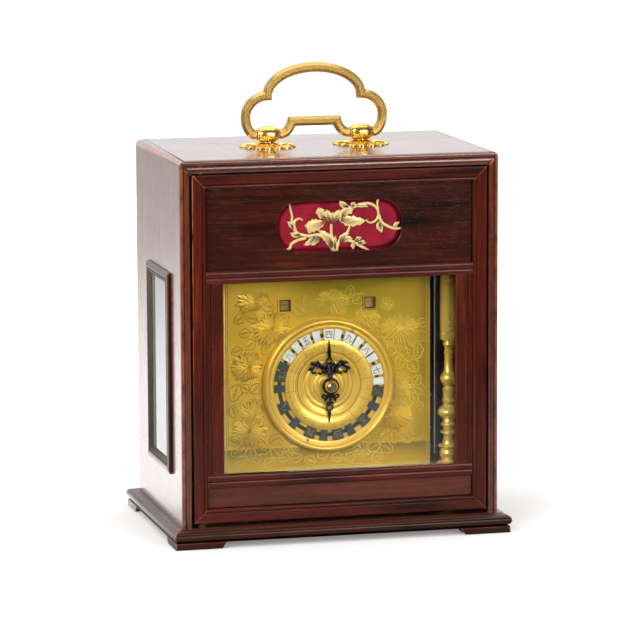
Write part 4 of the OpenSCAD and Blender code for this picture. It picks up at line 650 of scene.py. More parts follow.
def floor_material():
    """Pale floor. The camera sees it fade to white away from the clock, with the clock's shadow."""
    g = Graph("floor")
    plain = g.add("BsdfDiffuse", Color=g.ramp(g.noise(g.coords(), 9, 2, 0.5), (0.3, 0.80), (0.7, 0.83)))
    far = g.vector("LENGTH", 1, i0=g.vector("MULTIPLY", i0=g.coords(), i1=(1, 1, 0)))
    glow = g.add("Emission", Color=WHITE, Strength=g.span(far, 0.07, 0.40, 0.22, 1.0))
    seen = g.add("AddShader", i0=plain, i1=glow)
    depth = g.axis(1)
    fore = g.span(depth, -0.40, -0.22, 0.0, 0.52)
    aft = g.span(depth, -0.03, 0.05)
    bright = g.plus(fore, g.times(aft, g.span(depth, 0.1, 0.8, 0.44, 0.30)))
    gleam = g.times(aft, g.span(depth, 0.30, 0.78, 0.76, 0.04))
    mirrored = g.add("AddShader", i0=g.add("BsdfDiffuse", Color=g.ramp(bright, (0, 0), (1, 1))),
                     i1=g.add("Emission", Color=WHITE, Strength=gleam))
    shader = g.for_ray(GLOSSY_RAY, plain, mirrored)
    shader = g.for_ray(THROUGH_RAY, shader, g.add("BsdfDiffuse", Color=(0.03, 0.03, 0.03, 1)))
    return g.surface(g.for_ray(CAMERA_RAY, shader, seen))


FLOOR_X, FRONT, BACK = 1800, -390, 1700
corners = [(-FLOOR_X, FRONT, 0), (FLOOR_X, FRONT, 0), (FLOOR_X, BACK, 0), (-FLOOR_X, BACK, 0)]
floor = new_object("floor", corners, [(0, 1, 2, 3)])
floor.data.materials.append(floor_material())


def make_world():
    """White to the camera, soft light for surfaces, and a dark room in front of the clock in what gleams"""
    g = Graph("world", "World")
    behind = g.span(g.axis(1, g.add("TexCoord", pick=GENERATED)), -0.25, 0.35)
    room = g.mix(behind, (0.022, 0.020, 0.019), (1.0, 1.0, 1.0))
    ambient = g.add("Background", Color=(1.0, 0.99, 0.97, 1), Strength=0.42)
    shade = g.for_ray(GLOSSY_RAY, ambient, g.add("Background", Color=room, Strength=1.0))
    shade = g.for_ray(THROUGH_RAY, shade, g.add("Background", Color=(0.02, 0.02, 0.02, 1), Strength=1.0))
    return g.surface(g.for_ray(CAMERA_RAY, shade, g.add("Background", Color=WHITE, Strength=1.0)))


bpy.context.scene.world = make_world()
LAMP_AIM = Vector((0, 0, 70)) * MM
LAMPS = (
    # name, place, size, watts
    ("top_light", (0, 100, 1300), (1500, 1200), 11.4),
    ("left_light", (-980, -1000, 720), (900, 800), 14.5),
    ("right_light", (540, -1380, 430), (600, 420), 7.5),
)
for name, at, size, watts in LAMPS:
    data = bpy.data.lights.new(name, "AREA")
    data.shape, data.size, data.size_y, data.energy = "RECTANGLE", size[0] * MM, size[1] * MM, watts
    o = bpy.data.objects.new(name, data)
    o.location = Vector(at) * MM
    o.rotation_mode = "QUATERNION"
    o.rotation_quaternion = (LAMP_AIM - o.location).to_track_quat("-Z", "Y")
    bpy.context.scene.collection.objects.link(o)


# The case and its doors
STILE_GAP = 0.7


def shrink_stile(part):
    """The door has shrunk: its left edge stands off from the case, most at the top"""
    for v in part.verts:
        if v.co.x < (0.1 - DOOR_HW) * MM:
            v.co.x += STILE_GAP * MM * (v.co.z / MM - DOOR_Z0) / (DOOR_Z1 - DOOR_Z0)


for node, grain, seed in (("case_left_side", "z", 3), ("case_right_side", "z", 4), ("case_top", "x", 5)):
    clones(node, "case", WOOD, "rosewood", 0.3, grain, seed)

# The unpolished inner faces of the side boards, behind the windows, darker than the outside wood as painted shade
INNER_X, INNER_Y, INNER_Z = (56.05, 56.22), (15.2, 32.8), (8.6, 136.6)
for side, label in SIDES:
    corners = [(side * x, INNER_Y[j], INNER_Z[k]) for x in INNER_X for j, k in ((0, 0), (0, 1), (1, 1), (1, 0))]
    solid(f"inner_face_{label}", corners, tube([0, 4], 4), "case", WOOD_INSIDE, grain="z", seed=31 + side)

WOODWORK = (
    # node, body, material, slot, softened edge, grain, seed
    ("base_moulding", "case", WOOD_BASE, "rosewood", 0.35, "auto", 6),
    ("floor_board", "case", WOOD_PLAIN, "plain_wood", 0.2, "x", 7),
    ("side_window_beads", "case", WOOD_BEAD, "rosewood", 0.2, "auto", 8),
    ("back_door", "back_door", WOOD, "rosewood", 0.4, "z", 9),
    ("door_frame", "front_door", WOOD_DOOR, "rosewood", 0.25, "auto", 10, shrink_stile),
    ("door_upper_panel", "front_door", WOOD_PANEL, "rosewood", 0.3, "x", 12),
    ("door_lower_panel", "front_door", WOOD_LOWER, "rosewood", 0.2, "x", 13),
)
for row in WOODWORK:
    clones(*row)


def crack(name, start, end, wide, normal):
    """Open joint in the wood: a black sliver, as painted shade in the gap, from a point to another, with its widths
    at both
    """
    proud, sunk, sway = 0.02, 0.1, 0.15
    a, b, n = Vector(start), Vector(end), Vector(normal)
    across = (b - a).normalized().cross(n)
    mid = (a + b) / 2 + across * sway
    rim = [a + across * wide[0] / 2, mid + across * sum(wide) / 4, b + across * wide[1] / 2,
           b - across * wide[1] / 2, mid - across * sum(wide) / 4, a - across * wide[0] / 2]
    verts = [v + n * proud for v in rim] + [v - n * sunk for v in rim]
    solid(name, verts, tube([0, 6], 6), "case", BLACK)


UP, DOWN, OUT = (0, 0, 1), (0, 0, -1), (0, -1, 0)
crack("top_joint_left", (-58.4, -38.8, TOP_Z), (-56.8, 38.6, TOP_Z), (0.35, 0.2), UP)
crack("top_joint_right", (57.0, -38.8, TOP_Z), (57.0, 38.6, TOP_Z), (0.14, 0.1), UP)
crack("corner_mitre_left", (-59.3, -39.5, 141.2), (-55.7, -39.5, 136.9), (0.7, 1.1), OUT)
crack("corner_mitre_right", (59.3, -39.5, 141.2), (55.7, -39.5, 136.9), (0.2, 0.3), OUT)

low, high = (0, 0, WIN_Z0), (0, 0, WIN_Z1)
WINDOW_CUTS = (
    # piece, planes as a point and the direction that is cut away, grain, seed
    ("window_rail_low", [(low, UP)], "x", 21),
    ("window_rail_high", [(high, DOWN)], "x", 22),
    ("window_stile_left", [(low, DOWN), (high, UP), ((-20, 0, 0), (1, 0, 0))], "z", 23),
    ("window_stile_right", [(low, DOWN), (high, UP), ((20, 0, 0), (-1, 0, 0))], "z", 25),
)
for name, planes, grain, seed in WINDOW_CUTS:
    bm = node_shape("door_window_frame")
    for point, away in planes:
        whole = bm.verts[:] + bm.edges[:] + bm.faces[:]
        bmesh.ops.bisect_plane(bm, geom=whole, plane_co=Vector(point) * MM, plane_no=away, clear_outer=True,
                               dist=1e-7)
        bmesh.ops.holes_fill(bm, edges=[e for e in bm.edges if len(e.link_faces) == 1])
    bmesh.ops.recalc_face_normals(bm, faces=bm.faces)
    mesh = bpy.data.meshes.new(name)
    bm.to_mesh(mesh)
    bm.free()
    o = settle(place_mesh(name, mesh), "front_door", WOOD_DOOR, ["door_window_frame"], grain, seed)
    soften(o, 0.2)

# Gilt fillets round the side windows: the section's heights are distances from the clock's middle
SIDE_Y, SIDE_Z, SIDE_HALF = -3.2, 61.6, (16.7, 34.8)
FILLET = [(-0.02, 60.02), (-2.0, 60.02), (-2.0, 60.15), (-1.6, 60.3), (-0.5, 61.3), (-0.02, 61.5)]
for side, label in SIDES:
    rect_frame(f"window_fillet_{label}", MOTTLED, (side * 1e-6, SIDE_Y, SIDE_Z), SIDE_HALF, FILLET, "x")

# The handle, its posts and rosettes
FLAT, CHAMFER = 1.75, 0.72
OCTAGON = [(FLAT, -CHAMFER), (FLAT, CHAMFER), (CHAMFER, FLAT), (-CHAMFER, FLAT), (-FLAT, CHAMFER),
           (-FLAT, -CHAMFER), (-CHAMFER, -FLAT), (CHAMFER, -FLAT)]
HEAD_HALF, HEAD_R, HEAD_GAP = 4.15, 3.2, 0.4
# The short bars that pass through the heads reach this far into the handle's ends
BAR_R, BAR_SIDES, BAR_BITE = 1.6, 32, 0.1
# Heights over the pivot and half sizes of the arcs of the bail, its side lobes and its inner curls
BAIL_Z, BAIL_RISE = 14.4, 10.3
LOBE_Z, LOBE_RX, LOBE_RZ = 6.6, 8.4, 7.8
CURL_Z, CURL_RX = 6.4, 4.9
out_x, in_x = POST_X + HEAD_HALF + HEAD_GAP, POST_X - HEAD_HALF - HEAD_GAP
half = (arc_points(0, BAIL_Z, POST_X, BAIL_RISE, 90, 0, 22) + arc_points(POST_X, LOBE_Z, LOBE_RX, LOBE_RZ, 82, 8, 9)
        + arc_points(out_x, LOBE_Z, POST_X + LOBE_RX - out_x, LOBE_Z, 0, -90, 9))
curl = arc_points(in_x, CURL_Z, CURL_RX, CURL_Z, -90, -164, 9)
verts, faces = [], []
for path in ([(-x, z) for x, z in reversed(half)] + half[1:], [(-x, z) for x, z in curl] + curl[::-1]):
    v, f = swept([(x, z + PIVOT_Z) for x, z in path], OCTAGON)
    faces += [tuple(k + len(verts) for k in face) for face in f]
    verts += v
for side in (-1, 1):
    faces += tube([len(verts), len(verts) + BAR_SIDES], BAR_SIDES)
    for x in (side * (in_x - BAR_BITE), side * (out_x + BAR_BITE)):
        ring = arc_points(0, PIVOT_Z, BAR_R, BAR_R, 0, 360, BAR_SIDES)[:-1]
        verts += [(x, y, z) for y, z in ring]
soften(solid("carrying_handle", verts, faces, "handle", GOLD_HANDLE, ["handle"], 30), 0.22, 2, 30)


def barrel_profile(half, r):
    """Barrel with a rim and a step at both ends"""
    rows = [(0, -half), (1.9, -half), (2.15, 0.12 - half), (2.25, 0.4 - half), (2.12, 0.55 - half),
            (2.2, 0.62 - half)]
    rows += [(r * (1 - 0.2 * abs(t) ** 2.6), t * (half - 0.75)) for t in (-1, -0.85, -0.7, -0.5, -0.25, 0)]
    return rows + [(a, -b) for a, b in reversed(rows[:-1])]


def rosette(name, x):
    """Turned-up flower of hammered petals round the post"""
    petals, crest, petal_r, steps, hole, rim = 14, 8.46, 2.238, 10, 2.2, 10.7
    rows, across = [hole, 2.9, 3.6, 4.3, 4.9, 5.3, 5.8, 6.6, 7.4, 8.2, 8.9, 9.5, 10.0, 10.4, rim], petals * steps
    rays = []
    for k in range(across):
        a = 2 * math.pi * k / across
        near = ((a + math.pi / petals) % (2 * math.pi / petals)) - math.pi / petals
        rays.append((a, near, crest * math.cos(near) + math.sqrt(petal_r ** 2 - (crest * math.sin(near)) ** 2)))
    verts = []
    for r in rows:
        for a, near, edge in rays:
            far = r if r < 5 else 5 + (r - 5) * (edge - 5) / (rim - 5)
            swell = math.cos(petals * near / 2) ** 2
            rise = math.sin(math.pi * min(max((r - 4.6) / 6.3, 0), 1)) ** 0.7
            height = (0.30 + 0.85 * rise) * (0.3 + 0.7 * swell)
            if r < 5.5:
                boss = (1.62 - 0.045 * r * r) * (0.86 + 0.14 * math.cos(petals * (a + 0.22)) ** 2)
                height = max(height, boss)
            verts.append((x + far * math.cos(a), far * math.sin(a), TOP_Z + height))
    top = len(verts)
    for r in (rim, hole):
        for a, near, edge in rays:
            far = r if r < 5 else edge
            verts.append((x + far * math.cos(a), far * math.sin(a), TOP_Z + 0.01))
    order = [i * across for i in range(len(rows))] + [top, top + across, 0]
    solid(name, verts, tube(order, across, caps=False), "case", GOLD, ["handle_rosettes"], 50)


STEM = [(0, 133.9), (1.3, 133.9), (1.5, 134.1), (1.5, 142.6), (2.1, 142.8), (2.1, 143.3), (2.5, 143.5),
        (2.5, 143.8), (2.1, 144), (2.1, 145), (0, 145)]
for side, label in SIDES:
    x = side * POST_X
    lathe(f"post_head_{label}", GOLD, barrel_profile(HEAD_HALF, HEAD_R), (x, 0, PIVOT_Z), ["handle_posts"], "x", 48,
          40)
    lathe(f"post_stem_{label}", GOLD, STEM, (x, 0, 0), ["handle_posts"], "z", 32, 40)
    rosette(f"rosette_{label}", x)

# The fret in the upper panel and the silk behind it. The cartouche is an inner box with a round rim about it.
CART_BOX, FRET_RIM, SILK_RIM = (15.3, 1.2), 8.05, 8.1


def into_box(x, z):
    """The point of the cartouche's inner box that is closest"""
    return math.copysign(min(abs(x), CART_BOX[0]), x), math.copysign(min(abs(z), CART_BOX[1]), z)


FRET_LEAF = relief(FRET_Y - 0.12, FRET_Y + 0.55, 0.3, 0.14)
FRET_STEM = relief(FRET_Y + 0.02, FRET_Y + 0.55)
VINES = [
    ([(-2.0, -9.6), (-2.2, -6.3), (-2.9, -2.9), (-2.9, 0.6)], (0.75, 0.42)),
    ([(4.1, 4.2), (5.0, 6.4), (6.2, 6.9), (8.4, 7.6), (11.2, 7.8), (13.6, 6.7), (14.9, 4.4), (14.4, 2.0), (12.6, 0.7),
      (11.0, 0.9), (10.2, 1.9)], (0.62, 0.3)),
    ([(14.8, 9.5), (14.5, 7.6), (14.9, 5.6)], (0.45, 0.3)),
    ([(14.9, 3.8), (16.1, 0.8), (18.4, -0.8), (21.0, -1.8), (23.5, -1.8)], (0.6, 0.4)),
    ([(-18.7, 9.2), (-18.2, 6.4), (-17.6, 4.0), (-17.7, 1.8), (-17.1, -0.5), (-15.2, -2.5), (-11.4, -3.4),
      (-7.5, -3.2), (-4.6, -5.2), (-2.6, -8.6)], (0.36, 0.66)),
    ([(-16.4, -1.4), (-17.0, 1.0), (-16.3, 2.5), (-14.9, 3.1), (-13.6, 2.4)], (0.62, 0.28)),
    ([(-19.8, -8.4), (-18.4, -7.6), (-17.9, -6.2), (-15.7, -4.9), (-12.4, -4.1)], (0.5, 0.5)),
    ([(-1.1, -9.6), (-0.3, -6.4), (2.1, -4.0), (3.6, -1.7), (4.2, 1.0)], (0.62, 0.32)),
    ([(1.6, -4.9), (3.6, -5.6), (5.9, -6.4), (8.3, -8.0), (11.6, -9.9)], (0.5, 0.55)),
]
LEAVES = [
    # base, tip, width, bow, place of the widest point, teeth
    ((-5.0, 2.0), (-13.0, 0.4), 4.0, 0.10, 1.25, 5), ((0.0, 2.4), (10.3, 1.5), 3.4, -0.05, 0.85, 4),
    ((-4.6, 2.2), (-7.6, 7.0), 3.0, 0.10, 1.5, 3), ((0.9, 2.4), (4.9, 6.8), 2.8, 0.12, 1.3, 3),
    ((-3.4, 1.4), (-4.6, 6.0), 2.6, 0.05, 1.6, 2), ((-2.6, 1.0), (-2.2, 5.0), 2.4, 0.0, 1.6, 2),
    ((-2.0, 1.2), (0.2, 5.9), 2.8, -0.06, 1.6, 2), ((3.6, 6.6), (0.2, 9.4), 1.9, 0.12, 0.9, 0),
    ((5.0, 6.6), (5.8, 8.5), 1.7, 0.0, 1.1, 0), ((6.4, 6.9), (11.0, 6.5), 1.5, 0.12, 0.8, 0),
    ((15.1, 1.2), (14.2, -1.9), 1.4, 0.08, 0.9, 0), ((15.5, 0.6), (16.2, -3.2), 1.7, -0.06, 0.9, 0),
    ((20.6, -1.7), (22.9, 0.6), 1.2, 0.1, 0.9, 0), ((-17.4, -0.9), (-19.5, 2.0), 1.7, -0.16, 0.9, 0),
    ((-14.6, -2.7), (-18.4, -2.0), 1.7, 0.14, 0.9, 0), ((-10.7, -2.8), (-11.6, -0.2), 1.3, 0.0, 0.9, 0),
    ((-9.0, -3.2), (-13.5, -6.7), 2.3, 0.14, 0.8, 3), ((-7.9, -3.4), (-10.6, -7.0), 2.0, 0.12, 0.8, 3),
    ((-3.0, -8.8), (-7.9, -1.4), 2.7, -0.12, 1.1, 4), ((-2.5, -8.2), (-4.9, -2.2), 2.0, -0.06, 1.2, 3),
    ((-1.5, -8.8), (-1.4, -3.6), 1.7, 0.05, 1.1, 3), ((0.0, -6.6), (3.9, -2.8), 2.2, 0.12, 1.0, 3),
    ((0.4, -6.0), (5.2, -5.2), 2.3, 0.14, 1.0, 3), ((6.0, -6.3), (8.5, -4.6), 1.6, 0.1, 1.0, 2),
    ((7.0, -7.0), (10.2, -6.8), 1.7, 0.12, 1.0, 2), ((5.6, -6.0), (5.4, -9.0), 1.5, -0.1, 1.0, 2),
]
fret = Strokes()
for points, widths in VINES:
    fret.vine(points, widths, FRET_STEM)
# The leaves are drawn wider than their table says, the first seven the most
BLOOM_LEAVES, BLOOM_SCALE, LEAF_SCALE = 7, 1.3, 1.16
for k, (base, tip, width, bow, peak, teeth) in enumerate(LEAVES):
    fret.leaf(base, tip, (BLOOM_SCALE if k < BLOOM_LEAVES else LEAF_SCALE) * width, FRET_LEAF, bow, peak, teeth, 20)
for v, (x, y, z) in enumerate(fret.verts):
    px, pz = into_box(x, z)
    keep = min(1, FRET_RIM / max(math.hypot(x - px, z - pz), 1e-9))
    fret.verts[v] = (px + (x - px) * keep, y, pz + (z - pz) * keep + CART_Z)
fret.make("peony_fret", "front_door", FRET, "pale_gilt", ["sound_fret"], 50)

# Engraved lines on the leaves
shading = Strokes()
HATCH, HATCH_STEPS = ridge(FRET_Y - 0.07, 0.05), 9
for base, tip, width, bow, peak, teeth in LEAVES:
    for side in (0,) if width < 1.6 else (-0.55, -0.3, 0, 0.3, 0.55):
        path = []
        for i in range(HATCH_STEPS):
            t = 0.06 + (0.72 - 0.5 * abs(side)) * i / (HATCH_STEPS - 1)
            x, z = bowed(base, tip, t, bow, side * width / 2 * leaf_width(t, peak))
            path.append((x, z + CART_Z))
        shading.add(path, [0.11 * (1 - i / HATCH_STEPS) + 0.02 for i in range(HATCH_STEPS)], HATCH)
shading.make("fret_shading", "front_door", SHADING, "pale_gilt", angle=38)

SILK_HW, SILK_HH, SILK_BACK, SILK_RISE = 25.9, 11.8, -34.97, 1.33
# The silk rises into the cartouche from this far inside the rim, over this width, with ripples of this height
SILK_EDGE, SILK_SLOPE, SILK_RIPPLE = 0.25, 1.2, 0.03
COLUMNS, ROWS = 104, 48
verts, faces = [], []
for j in range(ROWS + 1):
    for i in range(COLUMNS + 1):
        x, z = SILK_HW * (2 * i / COLUMNS - 1), SILK_HH * (2 * j / ROWS - 1)
        px, pz = into_box(x, z)
        t = min(max((SILK_RIM - math.hypot(x - px, z - pz) - SILK_EDGE) / SILK_SLOPE, 0), 1)
        ripple = SILK_RIPPLE * math.sin(x * 1.7 + z * 0.6) * t
        verts.append((x, SILK_BACK - SILK_RISE * t * t * (3 - 2 * t) + ripple, CART_Z + z))
        if i < COLUMNS and j < ROWS:
            p = j * (COLUMNS + 1) + i
            faces.append((p, p + 1, p + COLUMNS + 2, p + COLUMNS + 1))
silk = settle(new_object("silk_cloth", verts, faces, 60), "front_door", SILK, ["silk_backing"])

# The dial: chased flowers, border, turned ring, pins and marks
rng = random.Random(11)
CHASED = ridge(DIAL_Y, 0.13)
BEZEL_CLEAR, BORDER_X, BORDER_LOW, BORDER_HIGH = 25.9, 37.9, 24.3, 94.4
GROUND_X, GROUND_LOW, GROUND_HIGH = 37.6, 24.6, 94.2
APERTURE_X, APERTURE_Z, APERTURE_HALF, APERTURE_CLEAR = 16.2, 84.8, 1.75, 2.7
chased, petals = Strokes(), Strokes()
drawn, grounds = [], []


def covered(x, z):
    """True inside an outline that was drawn before, which lies in front"""
    for x0, x1, z0, z1, ring in drawn:
        if x0 < x < x1 and z0 < z < z1:
            odd = False
            for (ax, az), (bx, bz) in zip(ring, ring[1:] + ring[:1]):
                if (az > z) != (bz > z) and x < (bx - ax) * (z - az) / (bz - az) + ax:
                    odd = not odd
            if odd:
                return True
    return False


def chase(path, widths):
    """A chased line, left out under the bezel, the apertures, the border and what lies in front of it"""
    run, wide = [], []
    for (x, z), w in list(zip(path, widths)) + [((0, DIAL_Z), 0)]:
        hidden = (math.hypot(x, z - DIAL_Z) < BEZEL_CLEAR or abs(x) > BORDER_X or not BORDER_LOW < z < BORDER_HIGH
                  or (abs(abs(x) - APERTURE_X) < APERTURE_CLEAR and abs(z - APERTURE_Z) < APERTURE_CLEAR)
                  or covered(x, z))
        if not hidden:
            run.append((x, z))
            wide.append(w)
            continue
        if len(run) > 2:
            chased.add(run, wide, CHASED)
        run, wide = [], []


def cover(ring):
    """Keeps an outline that hides the lines drawn after it"""
    xs, zs = zip(*ring)
    drawn.append((min(xs), max(xs), min(zs), max(zs), ring))


def petal(cx, cz, deg, tip, share, n):
    """One petal of a bloom's ring of n: its chased edge, its raised middle and, on the longest, a crease"""
    root, wide = 0.10 * tip, min(math.pi * tip / n * 1.12, 1.1) * rng.uniform(0.85, 1.1)
    bend = rng.uniform(-0.1, 0.1)
    left, right = [], []
    for i in range(8):
        t = i / 7
        along, across = root + (tip - root) * t, wide * t ** 0.85 * math.sqrt(max(0, 1 - t ** 4))
        a = math.radians(deg) + bend * t
        left.append(at_angle(cx, cz, a, along, across))
        right.append(at_angle(cx, cz, a, along, -across))
    ring = left + right[-2::-1]
    chase(ring, [0.11 + 0.07 * abs(i - 7) / 7 for i in range(15)])
    middle = [((a + c) / 2, (b + d) / 2) for (a, b), (c, d) in zip(left, right)]
    x, z = middle[6]
    if math.hypot(x, z - DIAL_Z) > BEZEL_CLEAR and abs(x) < BORDER_X and z > BORDER_LOW:
        widths = [max(math.hypot(a - c, b - d) / 2 * 0.86, 0.03) for (a, b), (c, d) in zip(left, right)]
        petals.add(middle, widths, relief(DIAL_Y - 0.10 + 0.05 * share, DIAL_Y + 0.02, 0.045))
    if share == 1.0 and tip > 5:
        a = math.radians(deg) + 0.6 * bend
        chase([at_angle(cx, cz, a, r * tip) for r in (0.78, 0.86, 0.94)], [0.1, 0.09, 0.05])
    cover(ring)


def bloom(cx, cz, reach, heart=None):
    """Chrysanthemum: rings of petals, as long as its reach in their direction. The short ones lie in front."""
    table = sorted((deg % 360, r) for deg, r in reach.items())
    table = [(table[-1][0] - 360, table[-1][1])] + table + [(table[0][0] + 360, table[0][1])]

    def length(deg):
        for (d0, r0), (d1, r1) in zip(table, table[1:]):
            if d0 <= deg % 360 <= d1:
                return r0 + (r1 - r0) * (deg % 360 - d0) / max(d1 - d0, 1e-6)

    if heart:
        oval = arc_points(cx, cz, *heart, 0, 360, 24)
        chase(oval, [0.16] * 25)
        cover(oval[:-1])
    edge, y = [], DIAL_Y - 0.012 - 0.002 * (len(grounds) % 7)
    for deg in range(0, 360, 12):
        x, z = at_angle(cx, cz, math.radians(deg), length(deg) * 0.86)
        edge.append((max(-GROUND_X, min(GROUND_X, x)), y, max(GROUND_LOW, min(GROUND_HIGH, z))))
    grounds.append(edge)
    for share, spacing in ((0.42, 1.5), (0.72, 1.5), (1.0, 1.45)):
        n = max(int(2 * math.pi * max(reach.values()) * share / spacing), 7)
        for k in range(n):
            deg = 360 * (k + rng.uniform(-0.22, 0.22)) / n + 180 * share
            petal(cx, cz, deg, length(deg) * share * rng.uniform(0.9, 1.06), share, n)


def chased_leaf(mx, mz, long, facing):
    """Lobed leaf about a middle point, with its veins"""
    a = math.radians(facing)
    cx, cz = at_angle(mx, mz, a, -0.5 * long)
    outline = []
    for i in range(33):
        t = i / 32
        part = 1 - abs(2 * t - 1)
        lobes = 0.74 + 0.26 * abs(math.cos(2.5 * math.pi * part))
        wide = 0.40 * long * math.sin(math.pi * min(part ** 0.85, 1)) ** 0.8 * lobes
        outline.append(at_angle(cx, cz, a, long * part, wide * (1 if t < 0.5 else -1)))
    chase(outline, [0.15] * 33)
    chase([at_angle(cx, cz, a, r * long) for r in (0.05, 0.3, 0.6, 0.85)], [0.14, 0.12, 0.1, 0.06])
    for side in (-1, 1):
        for at in (0.28, 0.5, 0.68):
            root = at_angle(cx, cz, a, at * long)
            chase([at_angle(*root, a + side * 0.75, s * long) for s in (0, 0.1, 0.2)], [0.1, 0.09, 0.05])
    cover(outline)


BLOOMS = (
    # middle X and Z, reach by degrees, and the heart's half sizes on the one that shows it
    (25.4, 42.2, {0: 7.8, 30: 7.0, 60: 5.0, 90: 4.2, 120: 4.6, 180: 5.0, 225: 6.0, 270: 6.0, 300: 7.0, 330: 8.0},
     (1.9, 1.2)),
    (26.8, 52.4, {0: 6.0, 30: 6.2, 60: 6.4, 90: 6.0, 270: 6.0, 300: 6.4, 330: 6.2}),
    (27.7, 75.0, {0: 7.5, 30: 6.2, 60: 5.4, 90: 5.0, 120: 5.2, 150: 6.0, 180: 7.6, 210: 8.4, 240: 8.4, 270: 8.6,
     300: 9.4, 330: 9.6}),
    (22.9, 83.8, {0: 3.0, 90: 2.8, 180: 3.0, 270: 2.6}),
    (14.2, 79.8, {0: 6.0, 45: 4.5, 90: 3.4, 150: 4.2, 180: 4.0, 240: 4.0, 270: 5.0, 300: 7.0, 320: 7.0}),
    (1.4, 86.8, {10: 5.5, 45: 4.0, 90: 3.8, 135: 4.0, 170: 5.5, 200: 7.5, 225: 8.0, 250: 7.0, 290: 7.2, 320: 8.0,
     345: 8.0}),
    (-20.9, 76.7, {0: 6.5, 45: 7.5, 90: 6.0, 135: 6.0, 180: 8.5, 225: 9.0, 270: 7.0, 315: 6.5}),
    (-27.0, 86.1, {10: 5.0, 30: 6.2, 60: 4.4, 90: 4.2, 120: 5.0, 140: 6.4, 160: 8.0, 180: 8.6, 200: 7.6, 220: 5.6,
     250: 3.2, 300: 2.5, 340: 3.0}),
    (-29.8, 62.3, {0: 5.8, 30: 6.2, 60: 5.8, 100: 5.6, 135: 7.2, 180: 8.5, 225: 7.4, 270: 5.2, 300: 5.2}),
    (-30.0, 38.4, {0: 7.4, 30: 6.4, 60: 5.2, 90: 4.8, 120: 5.6, 150: 7.2, 180: 7.8, 210: 8.0, 240: 7.4, 270: 6.4,
     300: 6.8, 330: 7.4}),
    (-27.9, 43.9, {0: 4.0, 30: 5.0, 60: 6.0, 90: 6.5, 120: 7.0, 150: 6.5, 180: 6.0, 210: 4.5, 270: 2.5}),
    (13.2, 28.6, {0: 3.2, 60: 3.8, 90: 4.2, 120: 4.2, 150: 4.0, 180: 3.6, 270: 2.5}),
    (-14.6, 32.0, {0: 4.0, 90: 4.5, 180: 4.4, 270: 3.0}),
)
SPRIGS = (
    # middle X and Z, length, direction in degrees
    (-35.4, 52.8, 6.8, 250), (-31.9, 54.5, 4.4, 150), (-27.4, 54.2, 5.0, 40), (-33.6, 80.4, 5.0, 215),
    (-29.0, 80.6, 4.8, 170), (-22.6, 84.6, 5.2, 350), (-31.6, 75.0, 4.6, 190), (-29.6, 70.6, 5.2, 215),
    (-23.6, 68.8, 4.8, 240), (-10.8, 82.9, 6.0, 140), (-7.4, 86.0, 5.0, 115), (8.7, 89.0, 4.8, 80),
    (12.0, 86.4, 5.4, 30), (37.0, 76.4, 4.6, 20), (36.2, 71.2, 5.6, 350), (30.8, 65.4, 7.4, 285),
    (34.6, 65.6, 6.0, 265), (27.8, 61.6, 5.4, 250), (33.0, 60.2, 5.8, 300), (24.6, 66.4, 5.0, 240),
    (34.4, 54.6, 4.8, 60), (35.8, 51.0, 5.4, 330), (33.4, 47.8, 4.8, 290), (34.4, 44.6, 5.6, 20),
    (33.6, 35.8, 6.4, 290), (25.6, 33.9, 5.8, 270), (20.2, 35.4, 5.6, 235), (30.2, 33.0, 5.0, 310),
    (15.8, 34.2, 4.8, 200), (17.6, 30.2, 5.4, 200), (22.6, 29.6, 5.8, 330), (-34.2, 31.0, 6.6, 210),
    (-25.4, 31.6, 7.0, 340), (-20.0, 34.8, 5.4, 30), (-29.6, 29.6, 5.5, 270), (-19.6, 29.6, 5.5, 320),
    (-36.0, 46.0, 5.0, 100), (-21.6, 47.0, 5.0, 80), (5.0, 82.4, 4.0, 320), (19.6, 73.6, 4.8, 300),
    (21.6, 69.6, 4.6, 290), (-34.6, 68.4, 4.6, 200), (-16.6, 80.6, 4.8, 60), (-36.4, 34.6, 4.4, 150),
)
for flower in BLOOMS:
    bloom(*flower)
for sprig in SPRIGS:
    chased_leaf(*sprig)
# A row of leaves along the plate's foot
for k in range(11):
    chased_leaf(-33.0 + 5.2 * k, 27.2 + 1.1 * math.sin(2.3 * k), 4.8, 20 + 150 * (k % 2) + 12 * math.sin(k))
chased.make("chased_flowers", "case", LINE, "gilt_brass")
petals.make("chased_petals", "case", PLATE, "gilt_brass", angle=50)
verts, faces = [], []
for edge in grounds:
    faces += tube([len(verts), len(verts) + len(edge)], len(edge))
    verts += edge + [(x, DIAL_Y + 0.02, z) for x, y, z in edge]
solid("flower_ground", verts, faces, "case", GROUND)
for label, inset in (("outer", 0.8), ("inner", 1.5)):
    rect_frame(f"border_line_{label}", LINE, (0, DIAL_Y, PLATE_Z), [h - inset for h in PLATE_HALF],
               [(-0.12, -0.02), (0, 0.06), (0.12, -0.02)])
# The plate's edge, in paler gilt than the plate: its bright line is partly a painted highlight
rect_frame("plate_edge", FRET, (0, DIAL_Y, PLATE_Z), [h + 0.03 for h in PLATE_HALF],
           [(0, -1.0), (0, -0.15), (-0.12, -0.02), (-0.52, 0.03), (-0.52, -0.2)])
for side, label in ((-1, "stem"), (1, "branch")):
    rect_frame(f"aperture_frame_{label}", UMBER, (side * APERTURE_X, DIAL_Y, APERTURE_Z), [APERTURE_HALF] * 2,
               [(0, -1.1), (0, 0.1), (0.3, 0.34), (0.5, 0.36), (0.68, 0.16), (0.68, -0.02), (0.42, -0.02),
                (0.42, -1.1)])

